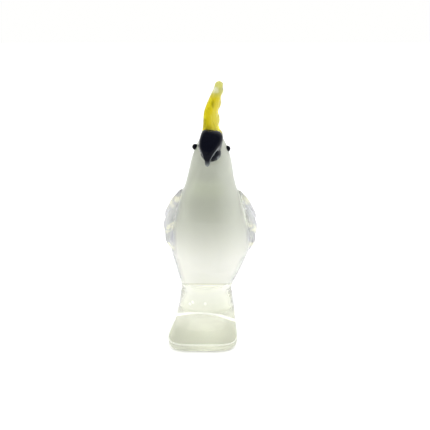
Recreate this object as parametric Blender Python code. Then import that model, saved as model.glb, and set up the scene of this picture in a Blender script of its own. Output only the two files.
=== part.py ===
"""A cockatoo figurine of hot-worked glass, standing on its own clear foot.

The bird faces -Y and stands on the plane Z = 0, so its left side is +X.
Units are metres. A white core lies inside a clear casing that is open at the waist,
where both stand on the foot. The crest is a yellow core in a clear casing that is open
at its root. Beak, eyes, wings and tail are bits of glass set on the casing.
"""

import math
from dataclasses import astuple, dataclass, replace
from typing import ClassVar

import bmesh
import bpy
from mathutils import Matrix, Vector

# Space left between pieces that touch
GAP = 0.0003

# Foot: heights of its rings above the ground
EDGE_RADIUS = 0.0022
RIM_HEIGHT = 0.0058
TOE_RISE = 0.0072
CREASE_RISE = 0.0065
STEM_RISE = 0.0095
STEM_TOP_RISE = 0.0090

# Foot: reach of its rings to the left, right, front and back of the Z axis
RIM_RIGHT_SIDE = 0.0341
RIM_LEFT_SIDE = 0.0228
RIM_FRONT = 0.0460
RIM_BACK = 0.0270
TOE_RIGHT_SIDE = 0.0322
TOE_LEFT_SIDE = 0.0222
TOE_FRONT = 0.0335
TOE_BACK = 0.0262
CREASE_RIGHT_SIDE = 0.0266
CREASE_LEFT_SIDE = 0.0206
CREASE_FRONT = 0.0208
CREASE_BACK = 0.0254
STEM_RIGHT_SIDE = 0.0254
STEM_LEFT_SIDE = 0.0193
STEM_FRONT = 0.0188
STEM_BACK = 0.0242
HEEL_RIGHT_LESS = 0.0064
HEEL_LEFT_LESS = 0.0010
TOE_HEEL_RIGHT_LESS = 0.0040
TOE_HEEL_LEFT_LESS = 0.0008
NARROWING_FRONT = 0.0310
NARROWING_BACK = 0.0060
FOOT_SQUARENESS = 5.2
STEM_SQUARENESS = 2.4

# Body casing: rise of each ring over the one below it
WAIST_TO_LAP = 0.0195
LAP_TO_BELLY = 0.0235
BELLY_TO_CHEST = 0.0245
CHEST_TO_NECK = 0.0245
NECK_TO_BROW = 0.0255
BROW_TO_CROWN = 0.0196

# Body casing: width, depth and centre of each ring
WAIST_WIDTH = 0.0432
WAIST_DEPTH = 0.0400
WAIST_X = -0.0028
WAIST_Y = 0.0030
LAP_WIDTH = 0.0572
LAP_DEPTH = 0.0540
LAP_X = -0.0006
LAP_Y = 0.0024
BELLY_WIDTH = 0.0680
BELLY_DEPTH = 0.0620
BELLY_X = 0.0004
BELLY_Y = 0.0005
CHEST_WIDTH = 0.0560
CHEST_DEPTH = 0.0530
CHEST_X = 0.0003
CHEST_Y = -0.0020
NECK_WIDTH = 0.0388
NECK_DEPTH = 0.0385
NECK_X = 0.0007
NECK_Y = -0.0038
BROW_WIDTH = 0.0272
BROW_DEPTH = 0.0310
BROW_X = 0.0016
BROW_Y = -0.0050
CROWN_X = 0.0013
CROWN_Y = -0.0035

# Body casing: clear wall over the white core, and how far the core sits off centre
WAIST_WALL = 0.0040
LAP_WALL = 0.0034
BELLY_WALL = 0.0028
CHEST_WALL = 0.0021
NECK_WALL = 0.0016
BROW_WALL = 0.0014
CROWN_WALL = 0.0014
WAIST_CORE_SHIFT = 0.0014
LAP_CORE_SHIFT = 0.0010

# Wings: place of each section over the casing, by height, bearing and stand-off
SHOULDER_DROP = 0.0125
WRIST_DROP = 0.0150
SPREAD_DROP = 0.0150
FOLD_DROP = 0.0130
TIP_ROOT_DROP = 0.0100
TIP_DROP = 0.0070
WING_TOP_BELOW_NECK = 0.0086
LEFT_WING_LOWER = 0.0012
WING_TOP_BEARING = 5.0
SHOULDER_BEARING = 2.0
WRIST_BEARING = 8.0
SPREAD_BEARING = 30.0
FOLD_BEARING = 54.0
TIP_ROOT_BEARING = 66.0
TIP_BEARING = 74.0
WING_TOP_STANDOFF = 0.0012
SHOULDER_STANDOFF = 0.0017
WRIST_STANDOFF = 0.0016
SPREAD_STANDOFF = -0.0010
FOLD_STANDOFF = 0.0018
TIP_ROOT_STANDOFF = 0.0075
TIP_STANDOFF = 0.0140

# Wings: chord and thickness of each section, and the feather grooves
SHOULDER_CHORD = 0.0215
WRIST_CHORD = 0.0330
SPREAD_CHORD = 0.0312
FOLD_CHORD = 0.0270
TIP_ROOT_CHORD = 0.0190
SHOULDER_THICKNESS = 0.0088
WRIST_THICKNESS = 0.0098
SPREAD_THICKNESS = 0.0094
FOLD_THICKNESS = 0.0082
TIP_ROOT_THICKNESS = 0.0060
FEATHER_COUNT = 5
FEATHER_GROOVE = 0.0018
FEATHER_SLANT = 0.30

# Tail: sections down and back from the casing, by reach, drop, width and thickness
TAIL_ROOT_OVER_WAIST = 0.0240
TAIL_ROOT_DEPTH = 0.0100
RUMP_REACH = 0.0170
RUMP_DROP = 0.0130
TRAIN_REACH = 0.0120
TRAIN_DROP = 0.0150
TAIL_END_REACH = 0.0060
TAIL_END_DROP = 0.0150
TAIL_TIP_REACH = 0.0025
TAIL_TIP_DROP = 0.0080
TAIL_ROOT_WIDTH = 0.0240
RUMP_WIDTH = 0.0270
TRAIN_WIDTH = 0.0260
TAIL_END_WIDTH = 0.0200
TAIL_ROOT_THICKNESS = 0.0130
RUMP_THICKNESS = 0.0110
TRAIN_THICKNESS = 0.0090
TAIL_END_THICKNESS = 0.0068
TAIL_GROOVE_COUNT = 4
TAIL_GROOVE = 0.0010

# Crest: rise, sweep, width and fore-and-aft length of each section
CREST_SINK = 0.0088
CREST_ROOT_RISE = 0.0105
CREST_LOW_RISE = 0.0090
CREST_MID_RISE = 0.0088
CREST_HIGH_RISE = 0.0072
CREST_TIP_RISE = 0.0052
CREST_ROOT_SET_BACK = -0.0030
CREST_LOW_SET_BACK = 0.0015
CREST_MID_SET_BACK = 0.0040
CREST_HIGH_SET_BACK = 0.0058
CREST_NECK_SET_BACK = 0.0042
CREST_TIP_SET_BACK = 0.0022
CREST_LOW_LEAN = 0.0002
CREST_MID_LEAN = 0.0004
CREST_HIGH_LEAN = 0.0026
CREST_NECK_LEAN = 0.0024
CREST_TIP_LEAN = 0.0004
CREST_ROOT_WIDTH = 0.0146
CREST_LOW_WIDTH = 0.0116
CREST_MID_WIDTH = 0.0114
CREST_HIGH_WIDTH = 0.0098
CREST_NECK_WIDTH = 0.0076
CREST_ROOT_LENGTH = 0.0230
CREST_LOW_LENGTH = 0.0240
CREST_MID_LENGTH = 0.0220
CREST_HIGH_LENGTH = 0.0170
CREST_NECK_LENGTH = 0.0110
CREST_TWIST = 7.0
CREST_WALL = 0.0014
CREST_REAR_WALL = 0.0038
CREST_TIP_WALL = 0.0055
CREST_FEATHER_COUNT = 5
CREST_NOTCH = 0.0022

# Beak: the upper half by reach and drop of each section, and the lower half
BEAK_ROOT_SINK = 0.0110
BEAK_ROOT_OVER_BROW = 0.0084
BEAK_BRIDGE_REACH = 0.0110
BEAK_ARCH_REACH = 0.0092
BEAK_ARCH_DROP = 0.0050
BEAK_HOOK_REACH = 0.0024
BEAK_HOOK_DROP = 0.0062
BEAK_TIP_REACH = -0.0012
BEAK_TIP_DROP = 0.0048
BEAK_ROOT_X = -0.0013
BEAK_HOOK_LEAN = -0.0018
BEAK_TIP_LEAN = -0.0006
BEAK_SQUARENESS = 2.7
BEAK_ROOT_WIDTH = 0.0130
BEAK_BRIDGE_WIDTH = 0.0168
BEAK_ARCH_WIDTH = 0.0146
BEAK_HOOK_WIDTH = 0.0066
BEAK_ROOT_HEIGHT = 0.0120
BEAK_BRIDGE_HEIGHT = 0.0156
BEAK_ARCH_HEIGHT = 0.0124
BEAK_HOOK_HEIGHT = 0.0066
LOWER_BEAK_WIDTH = 0.0156
LOWER_BEAK_LENGTH = 0.0200
LOWER_BEAK_HEIGHT = 0.0126
LOWER_BEAK_REACH = 0.0012
LOWER_BEAK_OVER_BROW = 0.0006
LOWER_BEAK_X = -0.0004

# Eyes
EYE_DIAMETER = 0.0050
EYE_PROUD = 0.0020
EYE_OVER_BROW = 0.0012
EYE_BEARING = -14.0
RIGHT_EYE_RAISE = 0.0014

# Grooves: how narrow they are, and the most they take of the glass above the middle
GROOVE_SHARPNESS = 4
MOST_GROOVE_SHARE = 0.5

# Facets, and the least angle at which an edge between them shows as sharp
SHARP_ANGLE = 50.0
EDGE_STEPS = 3
BODY_SIDES = 28
BODY_STEPS = 3
FOOT_SIDES = 36
FOOT_STEPS = 3
WING_SIDES = 24
WING_STEPS = 4
TAIL_SIDES = 24
TAIL_STEPS = 3
CREST_SIDES = 20
CREST_STEPS = 3
CREST_CORE_SIDES = 16
BEAK_SIDES = 18
BEAK_STEPS = 3
EYE_SIDES = 14
EYE_RINGS = 8
LOWER_BEAK_SIDES = 18
LOWER_BEAK_RINGS = 12

# Squareness of an ellipse
BODY_ROUNDNESS = 2.0

# The way the tail's back and the beak's top face, before each is squared to its path
TAIL_BACK_FACES = Vector((0.0, 1.0, 1.0))
BEAK_TOP_FACES = Vector((0.0, -0.6, 1.0))


@dataclass
class Ring:
    """A level outline: its centre, full width and depth, and how square it is.

    The last two sizes are how much less its heel reaches to either side.
    """

    sizes: ClassVar = ("width", "depth")
    z: float
    x: float
    y: float
    width: float
    depth: float
    squareness: float = BODY_ROUNDNESS
    less_right: float = 0.0
    less_left: float = 0.0


@dataclass
class Section:
    """A cross-section on a path: its centre, its full breadth and its thickness."""

    sizes: ClassVar = ("breadth", "thickness")
    x: float
    y: float
    z: float
    breadth: float
    thickness: float


def clear_scene():
    for item in list(bpy.data.objects):
        bpy.data.objects.remove(item, do_unlink=True)


def between(before, start, end, after, t):
    """A smooth value between start and end, led by the values on either side."""
    out_of_start = (end - before) / 2
    into_end = (after - start) / 2
    rise = end - start
    bend = out_of_start + into_end - 2 * rise
    sag = 3 * rise - 2 * out_of_start - into_end
    return start + t * (out_of_start + t * (sag + t * bend))


def straight_on(last, before):
    """The station that follows an end in a straight line."""
    return type(last)(*(2 * end - inner for end, inner in zip(astuple(last), astuple(before))))


def over_end(before):
    """The station that follows a pointed end, as the outline comes back over it."""
    mirrored = {size: -getattr(before, size) for size in before.sizes}
    return replace(before, **mirrored)


def smoothed(stations, steps, round_start=False):
    """Stations joined by a smooth run of in-between ones, the last end round."""
    first = over_end(stations[1]) if round_start else straight_on(stations[0], stations[1])
    guides = [first, *stations, over_end(stations[-2])]
    run = []
    for index in range(len(stations) - 1):
        near = [astuple(guide) for guide in guides[index:index + 4]]
        for step in range(steps):
            values = [between(*group, step / steps) for group in zip(*near)]
            run.append(type(first)(*values))
    run.append(stations[-1])
    return run


def signed_power(value, power):
    return math.copysign(abs(value) ** power, value)


def heel_share(y):
    """How far a place on the foot is through its narrowing, from 0 to 1."""
    share = (y + NARROWING_FRONT) / (NARROWING_FRONT - NARROWING_BACK)
    share = min(1.0, max(0.0, share))
    return share * share * (3 - 2 * share)


def ring_points(ring, sides, widen=0.0):
    """Points of a level outline, anticlockwise from above, moved out by widen."""
    points = []
    power = 2 / ring.squareness
    for side in range(sides):
        turn = 2 * math.pi * side / sides
        across = signed_power(math.cos(turn), power)
        y = ring.y + (ring.depth / 2 + widen) * signed_power(math.sin(turn), power)
        less = ring.less_left if across > 0 else ring.less_right
        reach = ring.width / 2 + widen - less * heel_share(y)
        points.append(Vector((ring.x + reach * across, y, ring.z)))
    return points


def add_ring(mesh, points):
    return [mesh.verts.new(point) for point in points]


def join_rings(mesh, lower, upper):
    for index, vert in enumerate(lower):
        following = (index + 1) % len(lower)
        mesh.faces.new((vert, lower[following], upper[following], upper[index]))


def close_to_point(mesh, loop, point):
    tip = mesh.verts.new(point)
    for index, vert in enumerate(loop):
        mesh.faces.new((vert, loop[(index + 1) % len(loop)], tip))


def finish_mesh(name, mesh, material, is_cutter=False):
    """Turns a bmesh into an object with its faces outward and shaded smooth."""
    bmesh.ops.recalc_face_normals(mesh, faces=mesh.faces[:])
    data = bpy.data.meshes.new(name)
    mesh.to_mesh(data)
    mesh.free()
    data.shade_smooth()
    data.set_sharp_from_angle(angle=math.radians(SHARP_ANGLE))
    piece = bpy.data.objects.new(name, data)
    bpy.context.collection.objects.link(piece)
    if is_cutter:
        piece.hide_render = True
        piece.display_type = 'WIRE'
    else:
        data.materials.append(material)
    return piece


def skin(name, loops, tip, material=None, is_cutter=False, start_tip=None):
    """A closed solid through loops of points, pointed or flat at its start."""
    mesh = bmesh.new()
    rows = [add_ring(mesh, loop) for loop in loops]
    for lower, upper in zip(rows, rows[1:]):
        join_rings(mesh, lower, upper)
    if start_tip is None:
        mesh.faces.new(rows[0])
    else:
        close_to_point(mesh, rows[0], start_tip)
    close_to_point(mesh, rows[-1], tip)
    return finish_mesh(name, mesh, material, is_cutter)


def cut(piece, cutter):
    """Takes the cutter's shape out of the piece."""
    modifier = piece.modifiers.new("cut_by_" + cutter.name, 'BOOLEAN')
    modifier.operation = 'DIFFERENCE'
    modifier.solver = 'EXACT'
    modifier.object = cutter


def glass(name, colour, roughness, transmission):
    """A plain glass material."""
    material = bpy.data.materials.new(name)
    material.use_nodes = True
    shader = material.node_tree.nodes["Principled BSDF"]
    shader.inputs["Base Color"].default_value = (*colour, 1.0)
    shader.inputs["Roughness"].default_value = roughness
    shader.inputs["Metallic"].default_value = 0.0
    shader.inputs["Transmission Weight"].default_value = transmission
    material.diffuse_color = (*colour, 1.0)
    return material


WAIST_Z = RIM_HEIGHT + TOE_RISE + CREASE_RISE + STEM_RISE + STEM_TOP_RISE
LAP_Z = WAIST_Z + WAIST_TO_LAP
BELLY_Z = LAP_Z + LAP_TO_BELLY
CHEST_Z = BELLY_Z + BELLY_TO_CHEST
NECK_Z = CHEST_Z + CHEST_TO_NECK
BROW_Z = NECK_Z + NECK_TO_BROW
CROWN_Z = BROW_Z + BROW_TO_CROWN


def body_stations(inset=0.0, in_wall=False):
    """The body's rings from waist to crown, all moved in by inset.

    With in_wall the rings are those of the white core, under the clear wall.
    """
    rows = (
        (WAIST_Z, WAIST_X, WAIST_Y, WAIST_WIDTH, WAIST_DEPTH, WAIST_WALL, WAIST_CORE_SHIFT),
        (LAP_Z, LAP_X, LAP_Y, LAP_WIDTH, LAP_DEPTH, LAP_WALL, LAP_CORE_SHIFT),
        (BELLY_Z, BELLY_X, BELLY_Y, BELLY_WIDTH, BELLY_DEPTH, BELLY_WALL, 0.0),
        (CHEST_Z, CHEST_X, CHEST_Y, CHEST_WIDTH, CHEST_DEPTH, CHEST_WALL, 0.0),
        (NECK_Z, NECK_X, NECK_Y, NECK_WIDTH, NECK_DEPTH, NECK_WALL, 0.0),
        (BROW_Z, BROW_X, BROW_Y, BROW_WIDTH, BROW_DEPTH, BROW_WALL, 0.0),
    )
    rings = []
    for z, x, y, width, depth, wall, shift in rows:
        less = 2 * (inset + (wall if in_wall else 0.0))
        centre = x + (shift if in_wall else 0.0)
        rings.append(Ring(z, centre, y, width - less, depth - less))
    top = CROWN_Z - inset - (CROWN_WALL if in_wall else 0.0)
    rings.append(Ring(top, CROWN_X, CROWN_Y, 0.0, 0.0))
    return rings


def body_rings(inset=0.0, in_wall=False):
    return smoothed(body_stations(inset, in_wall), BODY_STEPS)


def body_at(height):
    """The casing's outer ring at a height, from the rings on either side of it."""
    rings = body_rings()
    for lower, upper in zip(rings, rings[1:]):
        if height <= upper.z:
            break
    share = (height - lower.z) / (upper.z - lower.z)
    values = [a + (b - a) * share for a, b in zip(astuple(lower), astuple(upper))]
    return Ring(*values)


def on_body(height, bearing, standoff):
    """A point at a stand-off from the casing, at a bearing from the bird's left."""
    ring = body_at(height)
    turn = math.radians(bearing)
    across = (ring.width / 2) * math.cos(turn)
    along = (ring.depth / 2) * math.sin(turn)
    outward = Vector((ring.depth * math.cos(turn), ring.width * math.sin(turn), 0)).normalized()
    return Vector((ring.x + across, ring.y + along, height)) + outward * standoff


def body_solid(name, inset, in_wall, material=None, is_cutter=False):
    """A solid through the body's rings, flat at the waist and round at the crown."""
    rings = body_rings(inset, in_wall)
    top = rings.pop()
    loops = [ring_points(ring, BODY_SIDES) for ring in rings]
    return skin(name, loops, Vector((top.x, top.y, top.z)), material, is_cutter)


def make_body_casing(material):
    """The clear shell round the core, open at the waist."""
    mesh = bmesh.new()
    edges = []
    for in_wall in (False, True):
        rings = body_rings(0.0, in_wall)
        top = rings.pop()
        rows = [add_ring(mesh, ring_points(ring, BODY_SIDES)) for ring in rings]
        for lower, upper in zip(rows, rows[1:]):
            join_rings(mesh, lower, upper)
        close_to_point(mesh, rows[-1], Vector((top.x, top.y, top.z)))
        edges.append(rows[0])
    join_rings(mesh, edges[0], edges[1])
    return finish_mesh("body_casing", mesh, material)


def make_body_core(material):
    """The white glass inside the casing, flush with it at the waist."""
    return body_solid("body_core", GAP, True, material)


def foot_ring(z, right_side, left_side, front, back, squareness, less_right=0.0, less_left=0.0):
    """A ring of the foot, from how far it reaches to each side of the Z axis."""
    return Ring(
        z,
        (left_side - right_side) / 2,
        (back - front) / 2,
        left_side + right_side,
        back + front,
        squareness,
        less_right,
        less_left,
    )


def make_foot(material):
    """The clear foot: a flat ground face, a toe that slopes up, and a stem."""
    rim = foot_ring(
        RIM_HEIGHT,
        RIM_RIGHT_SIDE,
        RIM_LEFT_SIDE,
        RIM_FRONT,
        RIM_BACK,
        FOOT_SQUARENESS,
        HEEL_RIGHT_LESS,
        HEEL_LEFT_LESS,
    )
    toe_z = RIM_HEIGHT + TOE_RISE
    crease_z = toe_z + CREASE_RISE
    stem_z = crease_z + STEM_RISE
    middle = (FOOT_SQUARENESS + STEM_SQUARENESS) / 2
    above = [
        rim,
        foot_ring(
            toe_z,
            TOE_RIGHT_SIDE,
            TOE_LEFT_SIDE,
            TOE_FRONT,
            TOE_BACK,
            middle,
            TOE_HEEL_RIGHT_LESS,
            TOE_HEEL_LEFT_LESS,
        ),
        foot_ring(
            crease_z,
            CREASE_RIGHT_SIDE,
            CREASE_LEFT_SIDE,
            CREASE_FRONT,
            CREASE_BACK,
            STEM_SQUARENESS,
        ),
        foot_ring(
            stem_z, STEM_RIGHT_SIDE, STEM_LEFT_SIDE, STEM_FRONT, STEM_BACK, BODY_ROUNDNESS
        ),
        Ring(WAIST_Z - GAP, WAIST_X, WAIST_Y, WAIST_WIDTH, WAIST_DEPTH),
    ]
    loops = rounded_edge(rim)
    upper = smoothed([*above, body_stations()[1]], FOOT_STEPS)
    level = [ring for ring in upper if ring.z <= above[-1].z]
    loops += [ring_points(ring, FOOT_SIDES) for ring in level]
    mesh = bmesh.new()
    rows = [add_ring(mesh, loop) for loop in loops]
    for lower, over in zip(rows, rows[1:]):
        join_rings(mesh, lower, over)
    mesh.faces.new(rows[0])
    mesh.faces.new(rows[-1])
    return finish_mesh("foot", mesh, material)


def rounded_edge(rim):
    """Loops from the ground face out to just under the rim, along a quarter round."""
    loops = []
    for step in range(EDGE_STEPS + 1):
        turn = math.pi / 2 * step / EDGE_STEPS
        inset = EDGE_RADIUS * (1 - math.sin(turn))
        level = replace(rim, z=EDGE_RADIUS * (1 - math.cos(turn)))
        loops.append(ring_points(level, FOOT_SIDES, -inset))
    return loops


def path_frames(sections, sideways):
    """Centre, breadth direction and thickness direction of each section on a path."""
    centres = [Vector((part.x, part.y, part.z)) for part in sections]
    frames = []
    for index, centre in enumerate(centres):
        ahead = centres[min(index + 1, len(centres) - 1)]
        behind = centres[max(index - 1, 0)]
        along = (ahead - behind).normalized()
        thick = sideways[index] - along * sideways[index].dot(along)
        thick.normalize()
        frames.append((centre, along.cross(thick), thick))
    return frames


def section_loop(frame, part, sides, widen=0.0, groove=None, squareness=BODY_ROUNDNESS):
    """Points round one section. A groove takes depth off its outer side."""
    centre, across, thick = frame
    power = 2 / squareness
    loop = []
    for side in range(sides):
        turn = 2 * math.pi * side / sides
        reach = (part.breadth / 2 + widen) * signed_power(math.sin(turn), power)
        rise = (part.thickness / 2 + widen) * signed_power(math.cos(turn), power)
        if groove is not None and rise > 0:
            rise -= min(groove(math.sin(turn)) * math.cos(turn), rise * MOST_GROOVE_SHARE)
        loop.append(centre + across * reach + thick * rise)
    return loop


def wing_sections(side):
    """The wing's sections from shoulder to tip, and the way out of the body at each."""
    top = NECK_Z - WING_TOP_BELOW_NECK - (LEFT_WING_LOWER if side > 0 else 0.0)
    rows = (
        (0.0, WING_TOP_BEARING, WING_TOP_STANDOFF, 0.0, 0.0),
        (SHOULDER_DROP, SHOULDER_BEARING, SHOULDER_STANDOFF, SHOULDER_CHORD, SHOULDER_THICKNESS),
        (WRIST_DROP, WRIST_BEARING, WRIST_STANDOFF, WRIST_CHORD, WRIST_THICKNESS),
        (SPREAD_DROP, SPREAD_BEARING, SPREAD_STANDOFF, SPREAD_CHORD, SPREAD_THICKNESS),
        (FOLD_DROP, FOLD_BEARING, FOLD_STANDOFF, FOLD_CHORD, FOLD_THICKNESS),
        (TIP_ROOT_DROP, TIP_ROOT_BEARING, TIP_ROOT_STANDOFF, TIP_ROOT_CHORD, TIP_ROOT_THICKNESS),
        (TIP_DROP, TIP_BEARING, TIP_STANDOFF, 0.0, 0.0),
    )
    height = top
    stations = []
    for drop, bearing, standoff, chord, thickness in rows:
        height -= drop
        turned = bearing if side > 0 else 180.0 - bearing
        place = on_body(height, turned, standoff)
        stations.append(Section(*place, chord, thickness))
    run = smoothed(stations, WING_STEPS, round_start=True)
    outward = []
    for part in run:
        ring = body_at(part.z)
        outward.append(Vector(((part.x - ring.x) / ring.width, (part.y - ring.y) / ring.depth, 0)))
    return run, outward


def make_wing(name, side, material, cutters):
    """One clear wing with slanting feather grooves, laid against casing and tail."""
    run, outward = wing_sections(side)
    frames = path_frames(run, outward)
    loops = []
    for index in range(1, len(run) - 1):
        progress = index / (len(run) - 1)

        def groove(position, progress=progress):
            phase = FEATHER_COUNT * (progress + FEATHER_SLANT * position * side)
            return FEATHER_GROOVE * math.cos(math.pi * phase) ** GROOVE_SHARPNESS

        loops.append(section_loop(frames[index], run[index], WING_SIDES, groove=groove))
    start = Vector((run[0].x, run[0].y, run[0].z))
    end = Vector((run[-1].x, run[-1].y, run[-1].z))
    wing = skin(name, loops, end, material, start_tip=start)
    for cutter in cutters:
        cut(wing, cutter)


def tail_solid(name, widen, material=None, is_cutter=False):
    """The tail with lengthwise grooves on its back, moved out by widen."""
    root_z = WAIST_Z + TAIL_ROOT_OVER_WAIST
    ring = body_at(root_z)
    rows = (
        (-TAIL_ROOT_DEPTH, 0.0, TAIL_ROOT_WIDTH, TAIL_ROOT_THICKNESS),
        (RUMP_REACH, RUMP_DROP, RUMP_WIDTH, RUMP_THICKNESS),
        (TRAIN_REACH, TRAIN_DROP, TRAIN_WIDTH, TRAIN_THICKNESS),
        (TAIL_END_REACH, TAIL_END_DROP, TAIL_END_WIDTH, TAIL_END_THICKNESS),
        (TAIL_TIP_REACH, TAIL_TIP_DROP, 0.0, 0.0),
    )
    y = ring.y + ring.depth / 2
    z = root_z
    stations = []
    for reach, drop, width, thickness in rows:
        y += reach
        z -= drop
        stations.append(Section(ring.x, y, z, width, thickness))
    run = smoothed(stations, TAIL_STEPS)
    frames = path_frames(run, [TAIL_BACK_FACES] * len(run))

    def groove(position):
        phase = TAIL_GROOVE_COUNT * position / 2
        return TAIL_GROOVE * math.cos(math.pi * phase) ** GROOVE_SHARPNESS

    loops = [
        section_loop(frame, part, TAIL_SIDES, widen, None if is_cutter else groove)
        for frame, part in zip(frames[:-1], run[:-1])
    ]
    end = Vector((run[-1].x, run[-1].y, run[-1].z - widen))
    return skin(name, loops, end, material, is_cutter)


def crest_rings():
    """The crest's level outlines, from its root inside the head to its tip."""
    rows = (
        (0.0, 0.0, 0.0, CREST_ROOT_WIDTH, CREST_ROOT_LENGTH),
        (CREST_ROOT_RISE, CREST_LOW_SET_BACK, CREST_LOW_LEAN, CREST_LOW_WIDTH, CREST_LOW_LENGTH),
        (CREST_LOW_RISE, CREST_MID_SET_BACK, CREST_MID_LEAN, CREST_MID_WIDTH, CREST_MID_LENGTH),
        (CREST_MID_RISE, CREST_HIGH_SET_BACK, CREST_HIGH_LEAN, CREST_HIGH_WIDTH, CREST_HIGH_LENGTH),
        (CREST_HIGH_RISE, CREST_NECK_SET_BACK, CREST_NECK_LEAN, CREST_NECK_WIDTH, CREST_NECK_LENGTH),
        (CREST_TIP_RISE, CREST_TIP_SET_BACK, CREST_TIP_LEAN, 0.0, 0.0),
    )
    z = CROWN_Z - CREST_SINK
    x = CROWN_X
    y = CROWN_Y + CREST_ROOT_SET_BACK
    stations = []
    for rise, back, lean, width, length in rows:
        z += rise
        x += lean
        y += back
        stations.append(Ring(z, x, y, width, length))
    return smoothed(stations, CREST_STEPS)


def crest_loop(ring, sides, wall, rear_wall, notch):
    """A crest outline, turned by its twist and drawn in by walls and a notch."""
    half_width = ring.width / 2 - wall
    front = ring.depth / 2 - wall
    rear = ring.depth / 2 - rear_wall - notch
    turned = Matrix.Rotation(math.radians(-CREST_TWIST), 3, 'Z')
    centre = Vector((ring.x, ring.y, ring.z))
    loop = []
    for side in range(sides):
        turn = 2 * math.pi * side / sides
        along = math.sin(turn)
        length = rear if along > 0 else front
        loop.append(centre + turned @ Vector((half_width * math.cos(turn), length * along, 0)))
    return loop


def crest_solid(name, wall, rear_wall, tip_wall, sides, notched, material=None, is_cutter=False):
    """A crest shape under the given walls, with or without feather notches behind."""
    rings = crest_rings()
    top = rings[-1]
    tip = Vector((top.x, top.y, top.z - tip_wall))
    kept = [ring for ring in rings[:-1] if ring.z < tip.z - GAP and ring.width > 3 * wall]
    loops = []
    for index, ring in enumerate(kept):
        phase = CREST_FEATHER_COUNT * index / (len(rings) - 1)
        notch = CREST_NOTCH * math.sin(math.pi * phase) ** GROOVE_SHARPNESS if notched else 0.0
        share = min(1.0, ring.width / CREST_HIGH_WIDTH)
        loops.append(crest_loop(ring, sides, wall, rear_wall * share, notch * share))
    return skin(name, loops, tip, material, is_cutter)


def make_crest(casing_material, core_material, body_cutter, beak_cutter):
    """The yellow core of the crest and the clear glass over it."""
    core = crest_solid(
        "crest_core",
        CREST_WALL + GAP,
        CREST_REAR_WALL + GAP,
        CREST_TIP_WALL + GAP,
        CREST_CORE_SIDES,
        False,
        core_material,
    )
    hollow = crest_solid(
        "crest_hollow",
        CREST_WALL,
        CREST_REAR_WALL,
        CREST_TIP_WALL,
        CREST_CORE_SIDES,
        False,
        is_cutter=True,
    )
    casing = crest_solid("crest_casing", 0.0, 0.0, 0.0, CREST_SIDES, True, casing_material)
    cut(casing, hollow)
    for piece in (core, casing):
        cut(piece, body_cutter)
        cut(piece, beak_cutter)


def face_front():
    """The middle of the face at brow height, on the casing."""
    ring = body_at(BROW_Z)
    return Vector((ring.x, ring.y - ring.depth / 2, BROW_Z))


def upper_beak(name, widen, material=None, is_cutter=False):
    """The hooked upper half of the beak, moved out by widen."""
    rows = (
        (-BEAK_ROOT_SINK, 0.0, 0.0, BEAK_ROOT_WIDTH, BEAK_ROOT_HEIGHT),
        (BEAK_BRIDGE_REACH, 0.0, 0.0, BEAK_BRIDGE_WIDTH, BEAK_BRIDGE_HEIGHT),
        (BEAK_ARCH_REACH, BEAK_ARCH_DROP, 0.0, BEAK_ARCH_WIDTH, BEAK_ARCH_HEIGHT),
        (BEAK_HOOK_REACH, BEAK_HOOK_DROP, BEAK_HOOK_LEAN, BEAK_HOOK_WIDTH, BEAK_HOOK_HEIGHT),
        (BEAK_TIP_REACH, BEAK_TIP_DROP, BEAK_TIP_LEAN, 0.0, 0.0),
    )
    root = face_front() + Vector((BEAK_ROOT_X, 0, BEAK_ROOT_OVER_BROW))
    x, y, z = root
    stations = []
    for reach, drop, lean, width, height in rows:
        x += lean
        y -= reach
        z -= drop
        stations.append(Section(x, y, z, width, height))
    run = smoothed(stations, BEAK_STEPS)
    frames = path_frames(run, [BEAK_TOP_FACES] * len(run))
    loops = [
        section_loop(frame, part, BEAK_SIDES, widen, squareness=BEAK_SQUARENESS)
        for frame, part in zip(frames[:-1], run[:-1])
    ]
    tip = Vector((run[-1].x, run[-1].y, run[-1].z - widen))
    return skin(name, loops, tip, material, is_cutter)


def ball(name, sides, rings, size, place, material):
    """A ball stretched to size, standing at place."""
    mesh = bmesh.new()
    bmesh.ops.create_uvsphere(mesh, u_segments=sides, v_segments=rings, radius=0.5)
    stretch = Matrix.Diagonal((*size, 1.0))
    bmesh.ops.transform(mesh, matrix=Matrix.Translation(place) @ stretch, verts=mesh.verts[:])
    return finish_mesh(name, mesh, material)


def make_beak(material, body_cutter, upper_cutter):
    """The black beak: a hooked upper half over a rounded lower half."""
    upper = upper_beak("beak_upper", 0.0, material)
    place = face_front() + Vector((LOWER_BEAK_X, -LOWER_BEAK_REACH, LOWER_BEAK_OVER_BROW))
    size = (LOWER_BEAK_WIDTH, LOWER_BEAK_LENGTH, LOWER_BEAK_HEIGHT)
    lower = ball("beak_lower", LOWER_BEAK_SIDES, LOWER_BEAK_RINGS, size, place, material)
    cut(lower, upper_cutter)
    cut(upper, body_cutter)
    cut(lower, body_cutter)


def make_eye(name, side, material, cutters):
    """A small black bead set into the side of the head."""
    bearing = EYE_BEARING if side > 0 else 180.0 - EYE_BEARING
    raised = EYE_OVER_BROW if side > 0 else EYE_OVER_BROW + RIGHT_EYE_RAISE
    place = on_body(BROW_Z + raised, bearing, EYE_PROUD - EYE_DIAMETER / 2)
    eye = ball(name, EYE_SIDES, EYE_RINGS, (EYE_DIAMETER,) * 3, place, material)
    for cutter in cutters:
        cut(eye, cutter)


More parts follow.
